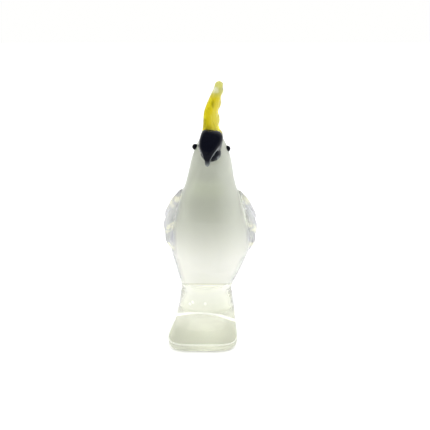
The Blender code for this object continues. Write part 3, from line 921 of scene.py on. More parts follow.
class Casing:
    """The outside of the body, read from the CAD casing."""

    def __init__(self) -> None:
        """Reads the rings."""
        self.rings = round_rings("body_casing")

    @property
    def crown(self) -> np.ndarray:
        """The top of the head."""
        z, x, y, _, _ = self.rings[-1]
        return np.array([x, y, z])

    def at(self, height: float) -> np.ndarray:
        """Centre X and Y, width and depth at a height."""
        columns = self.rings.T
        return np.array([np.interp(height, columns[0], column) for column in columns[1:]])

    def off(self, height: float, bearing: float, standoff: float) -> np.ndarray:
        """A point at a stand-off from the casing.

        Args:
            height: Its height.
            bearing: Degrees from the bird's left, towards its back.
            standoff: How far outside the casing it is.

        Returns:
            The point.
        """
        x, y, width, depth = self.at(height)
        turn = math.radians(bearing)
        out = np.array([depth * math.cos(turn), width * math.sin(turn), 0.0])
        out /= np.linalg.norm(out)
        rim = np.array([x + width / 2 * math.cos(turn), y + depth / 2 * math.sin(turn), height])
        return rim + out * standoff


@dataclass(frozen=True)
class GrooveSizes:
    """Grooves that run across a piece and repeat along it."""

    count: float
    depth: float
    slant: float
    sharpness: float


class GrooveNodes:
    """Geometry Nodes that press a row of grooves or notches into a piece.

    The piece carries, for each point, how far along it is, how far across, how much of
    the groove it takes, and which way the groove goes in.
    """

    NAMES = ("Count", "Depth", "Slant", "Sharpness")

    def __init__(self) -> None:
        """Builds the tree."""
        self.tree = bpy.data.node_groups.new("grooves", "GeometryNodeTree")
        self.sockets = {}
        face = self.tree.interface
        face.new_socket("Geometry", in_out="INPUT", socket_type="NodeSocketGeometry")
        for name in self.NAMES:
            item = face.new_socket(name, in_out="INPUT", socket_type="NodeSocketFloat")
            self.sockets[name] = item.identifier
        item = face.new_socket("Finish", in_out="INPUT", socket_type="NodeSocketMaterial")
        self.sockets["Finish"] = item.identifier
        face.new_socket("Geometry", in_out="OUTPUT", socket_type="NodeSocketGeometry")
        bench = Bench(self.tree)
        source = bench.add("NodeGroupInput")
        along = self._layer(bench, "along")
        across = self._layer(bench, "across")
        takes = self._layer(bench, "takes")
        inward = bench.add(
            "GeometryNodeInputNamedAttribute", {"data_type": "FLOAT_VECTOR"}, {"Name": "inward"}
        )
        count, depth, slant, sharpness = (bench.signal(source, name) for name in self.NAMES)
        phase = count * (along + slant * across)
        wave = 0.5 + 0.5 * (phase * math.tau).cosine()
        pressed = wave ** sharpness * takes * depth
        move = bench.add(
            "ShaderNodeVectorMath",
            {"operation": "SCALE"},
            {0: inward.outputs[0], "Scale": pressed},
        )
        moved = bench.add(
            "GeometryNodeSetPosition",
            None,
            {"Geometry": source.outputs["Geometry"], "Offset": move.outputs[0]},
        )
        real = bench.add("GeometryNodeRealizeInstances", None, {"Geometry": moved.outputs[0]})
        dressed = bench.add(
            "GeometryNodeSetMaterial",
            None,
            {"Geometry": real.outputs[0], "Material": source.outputs["Finish"]},
        )
        bench.add("NodeGroupOutput", {"is_active_output": True}, {"Geometry": dressed.outputs[0]})

    @staticmethod
    def _layer(bench: Bench, name: str) -> Signal:
        """A number that the piece carries for each point."""
        node = bench.add("GeometryNodeInputNamedAttribute", {"data_type": "FLOAT"}, {"Name": name})
        return bench.signal(node)

    def press(
        self, piece: bpy.types.Object, sizes: GrooveSizes, finish: bpy.types.Material
    ) -> bpy.types.Object:
        """Presses the grooves into a piece.

        Args:
            piece: The piece, with its four layers.
            sizes: The grooves.
            finish: The piece's material.

        Returns:
            The same object with a plain mesh.
        """
        modifier = piece.modifiers.new("grooves", "NODES")
        modifier.node_group = self.tree
        values = (sizes.count, sizes.depth, sizes.slant, sizes.sharpness)
        for name, value in zip(self.NAMES, values):
            modifier[self.sockets[name]] = float(value)
        modifier[self.sockets["Finish"]] = finish
        return settle(piece)


def path_frames(centres: np.ndarray, sideways: np.ndarray) -> tuple[np.ndarray, np.ndarray]:
    """Breadth and thickness directions of each section on a path.

    Args:
        centres: The path's points.
        sideways: Roughly the thickness direction at each.

    Returns:
        The breadth directions and the thickness directions.
    """
    ahead = np.concatenate([centres[1:], centres[-1:]])
    behind = np.concatenate([centres[:1], centres[:-1]])
    along = ahead - behind
    along /= np.linalg.norm(along, axis=1, keepdims=True)
    thick = sideways - along * (sideways * along).sum(1, keepdims=True)
    thick /= np.linalg.norm(thick, axis=1, keepdims=True)
    return np.cross(along, thick), thick


def leaf(
    name: str,
    run: np.ndarray,
    outward: np.ndarray,
    sides: int,
    along: np.ndarray,
    sign: int = 1,
    pointed: bool = False,
) -> bpy.types.Object:
    """Makes a flat piece along a run of sections, with the layers that its grooves need.

    Args:
        name: The object's name.
        run: Centre, width and thickness of each section, the last with no size.
        outward: Roughly the way the grooved face looks at each section.
        sides: How many points each section has.
        along: How far along each section is.
        sign: Which way the distance across counts, 1 or -1.
        pointed: Whether the first section has no size either.

    Returns:
        The piece.
    """
    across, thick = path_frames(run[:, :3], outward)
    turn = circle(sides)
    kept = range(1 if pointed else 0, len(run) - 1)
    loops, takes = [], []
    for index in kept:
        breadth = run[index, 3] / 2 * np.sin(turn)[:, None] * across[index]
        rise = run[index, 4] / 2 * np.cos(turn)[:, None] * thick[index]
        loops.append(run[index, :3] + breadth + rise)
        takes.append(np.clip(np.cos(turn), 0, 1) * min(1.0, run[index, 4] / FULL_GROOVE))
    layers = {
        "along": np.repeat(along[kept], sides),
        "across": np.tile(np.sin(turn) * sign, len(loops)),
        "takes": np.concatenate(takes),
        "inward": np.repeat(-thick[kept], sides, axis=0),
    }
    return loft(name, loops, run[-1, :3], run[0, :3] if pointed else None, layers)


@dataclass(frozen=True)
class WingStation:
    """A section of a wing: its drop, place over the casing, chord and thickness."""

    drop: float
    bearing: float
    standoff: float
    chord: float = 0.0
    thickness: float = 0.0


@dataclass
class Wing:
    """A clear wing with slanting feather grooves, laid on the side of the body."""

    side: Side
    casing: Casing
    top: float
    stations: Sequence[WingStation] = (
        WingStation(0.0, 5.0, 0.0012),
        WingStation(0.0125, 2.0, 0.0022, 0.0215, 0.0092),
        WingStation(0.0150, 8.0, 0.0022, 0.0330, 0.0104),
        WingStation(0.0150, 30.0, -0.0010, 0.0312, 0.0094),
        WingStation(0.0130, 54.0, 0.0018, 0.0270, 0.0082),
        WingStation(0.0100, 66.0, 0.0075, 0.0190, 0.0060),
        WingStation(0.0070, 74.0, 0.0140),
    )
    grooves: GrooveSizes = GrooveSizes(4.0, 0.0016, 0.35, 1.0)
    sides: int = 96
    steps: int = 16

    def build(self, press: GrooveNodes, finish: bpy.types.Material) -> bpy.types.Object:
        """Builds the wing.

        Args:
            press: The node tree that presses the grooves.
            finish: Its material.

        Returns:
            The wing, which runs a little into the body.
        """
        height = self.top
        rows = []
        for station in self.stations:
            height -= station.drop
            turned = station.bearing if self.side is Side.LEFT else HALF_TURN - station.bearing
            place = self.casing.off(height, turned, station.standoff)
            rows.append([*place, station.chord, station.thickness])
        run = smoothed(np.array(rows), self.steps, (3, 4), round_start=True)
        outward = []
        for x, y, z, _, _ in run:
            centre_x, centre_y, width, depth = self.casing.at(z)
            outward.append([(x - centre_x) / width, (y - centre_y) / depth, 0.0])
        along = np.arange(len(run)) / (len(run) - 1) + 0.5 / self.grooves.count
        name = "wing_" + self.side.name.lower() + "_glass"
        wing = leaf(name, run, np.array(outward), self.sides, along, self.side.value, pointed=True)
        return press.press(wing, self.grooves, finish)


@dataclass(frozen=True)
class TailStation:
    """A section of the tail: its reach back, drop, width and thickness."""

    reach: float
    drop: float
    width: float = 0.0
    thickness: float = 0.0


@dataclass
class Tail:
    """The short clear tail behind the foot, with lengthwise grooves on its back."""

    casing: Casing
    root_over_waist: float = 0.0240
    upward: Triple = (0.0, 1.0, 1.0)
    stations: Sequence[TailStation] = (
        TailStation(-0.0100, 0.0, 0.0240, 0.0130),
        TailStation(0.0170, 0.0130, 0.0270, 0.0110),
        TailStation(0.0120, 0.0150, 0.0260, 0.0090),
        TailStation(0.0060, 0.0150, 0.0200, 0.0068),
        TailStation(0.0025, 0.0080),
    )
    grooves: GrooveSizes = GrooveSizes(4.0, 0.0014, 0.5, 2.0)
    sides: int = 96
    steps: int = 16

    def build(self, press: GrooveNodes, finish: bpy.types.Material) -> bpy.types.Object:
        """Builds the tail.

        Args:
            press: The node tree that presses the grooves.
            finish: Its material.

        Returns:
            The tail, which starts inside the body.
        """
        z = self.casing.rings[0][0] + self.root_over_waist
        x, centre_y, _, depth = self.casing.at(z)
        y = centre_y + depth / 2
        rows = []
        for station in self.stations:
            y += station.reach
            z -= station.drop
            rows.append([x, y, z, station.width, station.thickness])
        run = smoothed(np.array(rows), self.steps, (3, 4))
        upward = np.tile(self.upward, (len(run), 1))
        tail = leaf("tail_glass", run, upward, self.sides, np.zeros(len(run)))
        return press.press(tail, self.grooves, finish)


@dataclass(frozen=True)
class CrestStation:
    """A level outline of the crest: its rise, set-back, lean, width and length."""

    rise: float
    back: float
    lean: float
    width: float = 0.0
    length: float = 0.0


@dataclass
class Crest:
    """The crest: yellow glass in clear glass that ends in feather tips behind."""

    crown: np.ndarray
    sink: float = 0.0088
    set_back: float = -0.0030
    twist: float = 24.0
    stations: Sequence[CrestStation] = (
        CrestStation(0.0, 0.0, 0.0008, 0.0156, 0.0230),
        CrestStation(0.0105, 0.0015, -0.0006, 0.0092, 0.0240),
        CrestStation(0.0090, 0.0040, 0.0005, 0.0090, 0.0230),
        CrestStation(0.0088, 0.0058, 0.0028, 0.0082, 0.0184),
        CrestStation(0.0072, 0.0042, 0.0024, 0.0070, 0.0116),
        CrestStation(0.0036, 0.0016, 0.0003, 0.0058, 0.0080),
        CrestStation(0.0016, 0.0006, 0.0001),
    )
    full_width: float = 0.0098
    wall: float = 0.0004
    rear_wall: float = 0.0034
    tip_wall: float = 0.0010
    tip_rounding: float = 0.0040
    least_width: float = 0.0012
    rear_fullness: float = 0.6
    notch_aside: float = 0.5
    notch_fullness: float = 0.7
    grooves: GrooveSizes = GrooveSizes(5.0, 0.0030, 0.0, 1.6)
    sides: int = 96
    steps: int = 16

    def rings(self) -> np.ndarray:
        """Height, centre, width and length of the crest's level outlines."""
        x, y, z = self.crown
        y += self.set_back
        z -= self.sink
        rows = []
        for station in self.stations:
            x += station.lean
            y += station.back
            z += station.rise
            rows.append([z, x, y, station.width, station.length])
        return smoothed(np.array(rows), self.steps, (3, 4))

    @property
    def heading(self) -> tuple[float, float]:
        """The cosine and the sine of the twist."""
        twist = math.radians(self.twist)
        return math.cos(twist), math.sin(twist)

    def outline(
        self, ring: np.ndarray, wall: float, rear_wall: float, fullness: float = 1.0
    ) -> np.ndarray:
        """Points round one outline, drawn in by its walls and turned by the twist.

        Args:
            ring: Height, centre, width and length of the outline.
            wall: How far it is drawn in at the sides and in front.
            rear_wall: How far it is drawn in behind.
            fullness: The power that rounds its rear, less than 1 for a squarer one.

        Returns:
            The points.
        """
        z, x, y, width, length = ring
        turn = circle(self.sides)
        is_rear = np.sin(turn) > 0
        power = np.where(is_rear, fullness, 1.0)
        across = (width / 2 - wall) * signed_power(np.cos(turn), power)
        along = np.where(is_rear, length / 2 - rear_wall, length / 2 - wall) * np.sin(turn)
        ahead, aside = self.heading
        points = [x + across * ahead + along * aside, y - across * aside + along * ahead]
        return np.stack([*points, np.full(self.sides, z)], 1)

    def build_casing(self, press: GrooveNodes, finish: bpy.types.Material) -> bpy.types.Object:
        """Builds the clear glass of the crest, notched behind.

        Args:
            press: The node tree that presses the notches.
            finish: Its material.

        Returns:
            The casing, which starts inside the head.
        """
        rings = self.rings()
        turn = circle(self.sides)
        loops, along, takes = [], [], []
        for index, ring in enumerate(rings[:-1]):
            loops.append(self.outline(ring, 0.0, 0.0, self.rear_fullness))
            along.append(np.full(self.sides, index / (len(rings) - 1) + 0.5 / self.grooves.count))
            size = min(1.0, ring[3] / self.full_width)
            takes.append(np.clip(np.sin(turn), 0, 1) ** self.notch_fullness * size)
        ahead, aside = self.heading
        inward = [-aside - ahead * self.notch_aside, -ahead + aside * self.notch_aside, 0.0]
        layers = {
            "along": np.concatenate(along),
            "across": np.zeros(self.sides * len(loops)),
            "takes": np.concatenate(takes),
            "inward": np.tile(inward, (self.sides * len(loops), 1)),
        }
        z, x, y, _, _ = rings[-1]
        casing = loft("crest_glass", loops, (x, y, z), None, layers)
        return press.press(casing, self.grooves, finish)

    def build_core(self, floor: float) -> bpy.types.Object:
        """Builds the yellow glass inside the casing.

        Args:
            floor: The height at which it starts.

        Returns:
            The core.
        """
        rings = self.rings()
        top = rings[-1][0] - self.tip_wall
        loops = []
        for ring in rings[:-1]:
            if floor < ring[0] < top and ring[3] > self.least_width:
                share = min(1.0, ring[3] / self.full_width)
                shrink = min(1.0, (top - ring[0]) / self.tip_rounding) ** 0.5
                thin = self.wall + (1 - shrink) * (ring[3] / 2 - self.wall)
                loops.append(self.outline(ring, thin, self.rear_wall * share))
        last = loops[-1].mean(0)
        return loft("crest_yellow", loops, (last[0], last[1], top))


@dataclass
class Foot:
    """The clear foot, read from the CAD foot's outlines and made finer."""

    sides_each: int = 4
    steps: int = 6
    rim_loops: int = 3
    sunk: float = 0.4

    def build(self) -> bpy.types.Object:
        """Builds the foot with its flat top a little inside the body.

        Returns:
            The foot. The loops at its rim keep their sharp bends.
        """
        loops = []
        for points in node_levels("foot"):
            middle = (points.min(0) + points.max(0)) / 2
            order = np.argsort(np.arctan2(points[:, 1] - middle[1], points[:, 0] - middle[0]))
            loops.append(self._finer(points[order]))
        rim, upper = np.array(loops[:self.rim_loops]), np.array(loops[self.rim_loops:])
        first = 2 * upper[0] - upper[1]
        last = 2 * upper[-1] - upper[-2]
        fine = spline(np.concatenate([first[None], upper, last[None]]), self.steps)
        top = upper[-1] + (upper[-1] - upper[-2]) * self.sunk
        return loft("foot_glass", [*rim, *fine, upper[-1], top])

    def _finer(self, loop: np.ndarray) -> np.ndarray:
        """A closed loop of points with more points between them."""
        return spline(np.concatenate([loop[-1:], loop, loop[:2]]), self.sides_each)


@dataclass
class ClearForm:
    """All the clear glass of the bird, fused into one piece."""

    finish: bpy.types.Material
    press: GrooveNodes
    casing: Casing
    crest: Crest
    wing_top_below_neck: float = 0.0070
    left_wing_lower: float = 0.0012
    neck_height: float = 0.1300
    body_sides: int = 128
    body_steps: int = 6
    body_evening: int = 14
    body_root: float = 0.0030
    voxel: float = 0.00085
    melt: int = 8
    melt_factor: float = 0.5
    ground_below: float = 0.00045
    replaced: Sequence[str] = (
        "foot", "body_casing", "wing_left", "wing_right", "tail", "crest_casing"
    )

    def build(self) -> bpy.types.Object:
        """Builds each bit of clear glass, fuses them and melts the seams.

        Returns:
            The piece.
        """
        top = self.neck_height - self.wing_top_below_neck
        parts = [
            self._body(),
            Foot().build(),
            Wing(Side.LEFT, self.casing, top - self.left_wing_lower).build(self.press, self.finish),
            Wing(Side.RIGHT, self.casing, top).build(self.press, self.finish),
            Tail(self.casing).build(self.press, self.finish),
            self.crest.build_casing(self.press, self.finish),
        ]
        joined = self._join(parts)
        remesh = joined.modifiers.new("fuse", "REMESH")
        remesh.mode = "VOXEL"
        remesh.voxel_size = self.voxel
        remesh.use_smooth_shade = True
        melt = joined.modifiers.new("melt", "SMOOTH")
        melt.factor = self.melt_factor
        melt.iterations = self.melt
        piece = settle(joined)
        self._seat(piece.data)
        piece.data.shade_smooth()
        piece.data.materials.clear()
        piece.data.materials.append(self.finish)
        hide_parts(*self.replaced)
        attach(piece, BODY)
        return piece

    def _body(self) -> bpy.types.Object:
        """The solid inside the casing's outside, from just under the waist up."""
        rings = evened(smoothed(self.casing.rings, self.body_steps, (3, 4)), self.body_evening)
        root = rings[0] - (rings[1] - rings[0]) * self.body_root / (rings[1][0] - rings[0][0])
        loops = ring_loops(np.concatenate([root[None], rings[:-1]]), self.body_sides)
        z, x, y, _, _ = rings[-1]
        return loft("body_glass", loops, (x, y, z))

    @staticmethod
    def _join(parts: Sequence[bpy.types.Object]) -> bpy.types.Object:
        """Puts the meshes of several objects into one and removes the objects."""
        mesh = bmesh.new()
        for part in parts:
            mesh.from_mesh(part.data)
        data = bpy.data.meshes.new("clear_form")
        mesh.to_mesh(data)
        mesh.free()
        for part in parts:
            old = part.data
            bpy.data.objects.remove(part)
            bpy.data.meshes.remove(old)
        piece = bpy.data.objects.new("clear_form", data)
        bpy.context.scene.collection.objects.link(piece)
        return piece

    def _seat(self, data: bpy.types.Mesh) -> None:
        """Sets the underside flat on the ground and keeps the rest within the CAD model's box."""
        points = np.empty(len(data.vertices) * 3, np.float32)
        data.vertices.foreach_get("co", points)
        points = points.reshape(-1, 3)
        points[points[:, 2] < self.ground_below, 2] = 0.0
        points = np.clip(points, *CAD_BOX)
        data.vertices.foreach_set("co", points.ravel())
        data.update()


@dataclass
class OpalCore:
    """The white core of the body, read from the CAD core and made finer."""

    finish: bpy.types.Material
    sides: int = 128
    steps: int = 6
    evening: int = 20
    hem_rings: float = 1.0
    slant: float = 0.50
    slant_below: float = 0.0580
    crease: float = 60.0

    def build(self) -> bpy.types.Object:
        """Builds the core, cut off at a slant below."""
        rings = evened(smoothed(round_rings("body_core"), self.steps, (3, 4)), self.evening)
        z, x, y, _, _ = rings[-1]
        floor = rings[0][0]
        loops = ring_loops(rings[:-1], self.sides)
        for loop in loops:
            share = np.clip((self.slant_below - loop[:, 2]) / (self.slant_below - floor), 0, 1)
            loop[:, 2] += share * self.slant * np.maximum(rings[0][2] - loop[:, 1], 0.0)
        turn = circle(self.sides)
        hem = np.clip(1.0 - np.abs(np.arange(len(loops)) - 1.0) / self.hem_rings, 0.0, 1.0)
        front = np.tile(-np.sin(turn), len(loops))
        front[:self.sides] = 1.0
        end = np.zeros(len(front))
        end[:self.sides] = 1.0
        layers = {
            "end": end,
            "front": front,
            "left": np.tile(np.cos(turn), len(loops)),
            "hem": np.repeat(hem, self.sides),
        }
        piece = loft("opal_core", loops, (x, y, z), None, layers)
        piece.data.set_sharp_from_angle(angle=math.radians(self.crease))
        piece.data.materials.append(self.finish)
        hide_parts("body_core")
        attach(piece, BODY)
        return piece


@dataclass(frozen=True)
class BeakStation:
    """A section of the upper beak: its reach, drop, lean, width and height."""

    reach: float
    drop: float
    lean: float
    width: float = 0.0
    height: float = 0.0


@dataclass(frozen=True)
class Lip:
    """A raised edge, painted grey as a highlight: its angle from the top, half breadth and beginning
    along the beak.
    """

    angle: float
    half: float
    begin: float


@dataclass
class Beak:
    """The black beak: a hooked upper half over a rounded lower half."""

    casing: Casing
    finish: bpy.types.Material
    brow: float
    root_x: float = -0.0008
    root_over_brow: float = 0.0094
    squareness: float = 3.6
    roll: float = 10.0
    hook_from: float = 0.26
    hook_to: float = 0.50
    nib_from: float = 0.66
    nib_grey: float = 1.0
    stations: Sequence[BeakStation] = (
        BeakStation(-0.0110, 0.0, 0.0, 0.0130, 0.0120),
        BeakStation(0.0110, 0.0, 0.0004, 0.0174, 0.0172),
        BeakStation(0.0076, 0.0034, -0.0018, 0.0148, 0.0130),
        BeakStation(0.0032, 0.0048, -0.0006, 0.0084, 0.0086),
        BeakStation(0.0006, 0.0038, -0.0002, 0.0042, 0.0056),
        BeakStation(-0.0004, 0.0028, 0.0, 0.0036, 0.0042),
        BeakStation(-0.0004, 0.0022, 0.0),
    )
    top_facing: Triple = (0.0, -0.6, 1.0)
    lips: Sequence[Lip] = (Lip(-1.42, 0.16, 0.26), Lip(0.92, 0.12, 0.42))
    lip_run: float = 0.20
    lip_rise: float = 0.05
    lower_size: Triple = (0.0156, 0.0200, 0.0126)
    lower_sides: int = 64
    lower_rings: int = 40
    lower_x: float = -0.0004
    lower_reach: float = 0.0012
    lower_over_brow: float = 0.0006
    chin_glint_aside: float = 0.36
    chin_glint_breadth: float = 0.06
    chin_glint_onset: float = 4.0
    sides: int = 96
    steps: int = 14

    def face(self) -> np.ndarray:
        """The middle of the face at brow height, on the casing."""
        x, y, _, depth = self.casing.at(self.brow)
        return np.array([x, y - depth / 2, self.brow])

    def build_upper(self) -> bpy.types.Object:
        """Builds the hooked upper half."""
        x, y, z = self.face() + np.array([self.root_x, 0.0, self.root_over_brow])
        rows = []
        for station in self.stations:
            x += station.lean
            y -= station.reach
            z -= station.drop
            rows.append([x, y, z, station.width, station.height])
        run = smoothed(np.array(rows), self.steps, (3, 4))
        progress = np.arange(len(run)) / (len(run) - 1)
        across, thick = self._rolled(run, progress)
        turn = circle(self.sides)
        power = 2 / self.squareness
        loops, edge = [], []
        for index in range(len(run) - 1):
            lip = self._lip(turn, progress[index])
            grow = 1 + self.lip_rise * lip
            breadth = run[index, 3] / 2 * signed_power(np.sin(turn), power) * grow
            rise = run[index, 4] / 2 * signed_power(np.cos(turn), power) * grow
            section = breadth[:, None] * across[index] + rise[:, None] * thick[index]
            loops.append(run[index, :3] + section)
            nib = np.clip((progress[index] - self.nib_from) / (1 - self.nib_from), 0, 1)
            # Grey on the lips is painted highlight; grey on the nib is the thin glass.
            edge.append(np.clip(lip + self.nib_grey * nib, 0, 1))
        layers = {"edge": np.concatenate(edge)}
        piece = loft("beak_hook", loops, run[-1, :3], None, layers)
        return self._dress(piece, "beak_upper")

    def _rolled(self, run: np.ndarray, progress: np.ndarray) -> tuple[np.ndarray, np.ndarray]:
        """Turns the sections about the beak's own line, less and less towards the hook.

        Args:
            run: The sections.
            progress: How far along each is.

        Returns:
            The breadth directions and the thickness directions.
        """
        across, thick = path_frames(run[:, :3], np.tile(self.top_facing, (len(run), 1)))
        hooking = np.clip((progress - self.hook_from) / (self.hook_to - self.hook_from), 0, 1)
        roll = (math.radians(self.roll) * (1 - hooking))[:, None]
        rolled = across * np.cos(roll) + thick * np.sin(roll)
        return rolled, thick * np.cos(roll) - across * np.sin(roll)

    def _lip(self, turn: np.ndarray, progress: float) -> np.ndarray:
        """How much of the lips each point of a section has."""
        from_top = np.angle(np.exp(1j * turn))
        total = np.zeros(len(turn))
        for lip in self.lips:
            share = np.clip((progress - lip.begin) / self.lip_run, 0, 1)
            total += share * np.exp(-((from_top - lip.angle) / lip.half) ** 2)
        return total

    def build_lower(self) -> bpy.types.Object:
        """Builds the rounded lower half."""
        place = self.face() + np.array([self.lower_x, -self.lower_reach, self.lower_over_brow])
        piece = ball("beak_chin", place, self.lower_size, self.lower_sides, self.lower_rings)
        points = np.array([vert.co for vert in piece.data.vertices]) - place
        aside, down = points[:, 0] / self.lower_size[0], -points[:, 2] / self.lower_size[2]
        # A painted highlight: a grey glint low on the front of the chin, on the bird's left.
        chin_glint = np.exp(-((aside - self.chin_glint_aside) / self.chin_glint_breadth) ** 2)
        chin_glint *= np.clip(self.chin_glint_onset * down, 0, 1) * (points[:, 1] < 0)
        add_layer(piece.data, "edge", chin_glint)
        return self._dress(piece, "beak_lower")

    def _dress(self, piece: bpy.types.Object, node: str) -> bpy.types.Object:
        """Gives a half its finish, hides the CAD node that it stands for and attaches it to the body."""
        piece.data.materials.append(self.finish)
        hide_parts(node)
        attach(piece, BODY)
        return piece


def ball(
    name: str, place: np.ndarray, size: Sequence[float], sides: int, rings: int
) -> bpy.types.Object:
    """Makes a ball stretched to size.

    Args:
        name: The object's name.
        place: Its centre.
        size: Its full sizes along X, Y and Z.
        sides: How many sides it has.
        rings: How many rings it has.

    Returns:
        The object, with its place in its mesh.
    """
    turn = circle(sides)
    loops = []
    for ring in range(1, rings):
        tilt = math.pi * ring / rings
        x = size[0] / 2 * math.sin(tilt) * np.cos(turn)
        y = size[1] / 2 * math.sin(tilt) * np.sin(turn)
        z = np.full(sides, -size[2] / 2 * math.cos(tilt))
        loops.append(np.stack([x, y, z], 1) + place)
    top = place + np.array([0.0, 0.0, size[2] / 2])
    bottom = place - np.array([0.0, 0.0, size[2] / 2])
    return loft(name, loops, top, bottom)


@dataclass
class Eye:
    """A small black bead set into the side of the head."""

    side: Side
    casing: Casing
    finish: bpy.types.Material
    height: float
    proud: float
    diameter: float = 0.0048
    bearing: float = -9.0
    sides: int = 40
    rings: int = 24

    def build(self) -> bpy.types.Object:
        """Builds the bead."""
        bearing = self.bearing if self.side is Side.LEFT else HALF_TURN - self.bearing
        place = self.casing.off(self.height, bearing, self.proud - self.diameter / 2)
        name = self.side.name.lower()
        size = (self.diameter,) * 3
        piece = ball("eye_bead_" + name, place, size, self.sides, self.rings)
        piece.data.materials.append(self.finish)
        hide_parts("eye_" + name)
        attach(piece, BODY)
        return piece


# The studio


@dataclass(frozen=True)
class Lobe:
    """A soft patch of the surroundings: its axis, and the cosines where it starts and is full."""

    axis: Triple
    reach: Run


@dataclass(frozen=True)
class Lamp:
    """A soft lamp beside the bird: its name, its X and its power in watts."""

    name: str
    across: float
    power: float


@dataclass
class Studio:
    """The camera, the white floor, the soft surrounding light and the lamps."""

    # The camera.
    aim: Triple = (0.0043, 0.0, 0.1000)
    distance: float = 0.480
    elevation: float = 18.0
    lens: float = 48.98
    sensor: float = 36.0
    clip: Run = (0.01, 50.0)

    # The floor, and how it looks straight on and through the glass.
    floor_half: float = 8.0
    floor_below: float = 0.0002
    floor_white: float = 0.92
    floor_seen: float = 0.62
    floor_lift: float = 0.10
    floor_lift_through_glass: float = 0.97
    floor_near: float = 0.20
    floor_behind: Run = (0.3, 0.97)
    # Painted light on the floor under the foot, shown only through the glass and by gloss: dimmer under
    # the toe and brighter towards the stem.
    under_radii: Run = (0.045, 0.052)
    under_rear: Run = (0.024, 0.030)
    under_depths: Run = (-0.036, 0.024)
    under_toe: float = 0.85
    under_stem: float = 1.70

    # The surroundings: their light, and how they look by gloss and through the glass.
    surround: float = 1.15
    surround_colour: Colour = (1.0, 1.0, 0.99)
    overhead: float = 2.2
    front_light: float = 0.62
    back_gloss: float = 0.68
    dome_gloss: float = 0.06
    side_through_glass: float = 0.55
    back_lift: float = 1.75
    front: Lobe = Lobe((0.0, -0.82, 0.57), (0.1, 0.9))
    above: Lobe = Lobe((0.0, 0.3, 0.95), (0.1, 0.95))
    dome: Lobe = Lobe((0.0, -0.6, 0.8), (-0.1, 0.65))
    behind: Lobe = Lobe((0.0, 0.95, -0.31), (0.50, 0.985))
    high_behind: Lobe = Lobe((0.0, 0.82, 0.57), (0.84, 0.97))

    # The lamps.
    lamps: Sequence[Lamp] = (Lamp("lamp_left", 0.55, 1.1), Lamp("lamp_right", -0.55, 0.7))
    lamp_size: Run = (0.35, 0.55)
    lamp_back: float = 0.25
    lamp_height: float = 0.35
    lamp_aim: Triple = (0.0, 0.0, 0.09)

    def build(self) -> None:
        """Builds all of it."""
        self._camera()
        self._floor()
        self._world()
        for lamp in self.lamps:
            self._lamp(lamp)

    @staticmethod
    def _place(thing: bpy.types.Object, place: Vector, towards: Vector) -> None:
        """Puts a camera or a lamp in the scene and aims it.

        Args:
            thing: The camera or lamp.
            place: Where it goes.
            towards: The direction in which it looks.
        """
        bpy.context.scene.collection.objects.link(thing)
        thing.location = place
        thing.rotation_mode = "QUATERNION"
        thing.rotation_quaternion = towards.to_track_quat("-Z", "Y")

    def _camera(self) -> None:
        """Puts the camera at the photograph's angle."""
        data = bpy.data.cameras.new("camera")
        data.lens = self.lens
        data.sensor_width = self.sensor
        data.clip_start, data.clip_end = self.clip
        rise = math.radians(self.elevation)
        back = Vector((0.0, -math.cos(rise), math.sin(rise)))
        camera = bpy.data.objects.new("camera", data)
        self._place(camera, Vector(self.aim) + back * self.distance, -back)
        bpy.context.scene.camera = camera
        bpy.context.scene.view_settings.view_transform = "Standard"

    @staticmethod
    def _rays(bench: Bench) -> tuple[Signal, Signal, Signal]:
        """Tells apart how a place is seen.

        Args:
            bench: The bench of the floor's or the world's tree.

        Returns:
            1 for what the camera sees straight, through glass, and by gloss.
        """
        path = bench.add("ShaderNodeLightPath")
        undimmed = 1.0 - bench.signal(path, "Diffuse Depth").at_most(1.0)
        straight = bench.signal(path, "Is Camera Ray")
        refracted = bench.signal(path, "Is Transmission Ray")
        through = refracted * undimmed
        gloss = bench.signal(path, "Is Glossy Ray") * undimmed * (1.0 - refracted)
        return straight, through, gloss

    def _floor(self) -> None:
        """Makes the white floor, which keeps the bird's shadow."""
        half, level = self.floor_half, -self.floor_below
        corners = [(x * half, y * half, level) for x, y in ((-1, -1), (1, -1), (1, 1), (-1, 1))]
        data = bpy.data.meshes.new("floor")
        data.from_pydata(corners, [], [(0, 1, 2, 3)])
        floor = bpy.data.objects.new("floor", data)
        bpy.context.scene.collection.objects.link(floor)
        material, bench = new_material("white_floor")
        straight, through, gloss = self._rays(bench)
        shade = self.floor_white + straight * (self.floor_seen - self.floor_white)
        shade = shade - (through + gloss).at_most(1.0) * self.floor_white
        white = bench.add("ShaderNodeBsdfDiffuse", None, {"Color": shade})
        at = bench.place()
        square = at.across * at.across + at.along * at.along
        reach = (square + self.floor_near ** 2) ** 0.5
        behind = (at.along + self.floor_near) / reach
        # Painted light under the foot, seen only through the glass and by gloss.
        near, far = self.under_radii
        under = square.ramp(near ** 2, far ** 2, 1.0, 0.0) * at.along.ramp(*self.under_rear, 1.0, 0.0)
        under_light = at.along.ramp(*self.under_depths, self.under_toe, self.under_stem)
        seen = behind.ramp(*self.floor_behind, self.side_through_glass, 1.0)
        seen = seen * (1.0 + under * (under_light - 1.0)) * self.floor_lift_through_glass
        strength = straight * self.floor_lift + (through + gloss) * seen
        sockets = {"Color": (1.0, 1.0, 1.0), "Strength": strength}
        lift = bench.add("ShaderNodeEmission", None, sockets)
        both = bench.add("ShaderNodeAddShader", None, {0: white.outputs[0], 1: lift.outputs[0]})
        bench.add("ShaderNodeOutputMaterial", None, {"Surface": both.outputs[0]})
        data.materials.append(material)

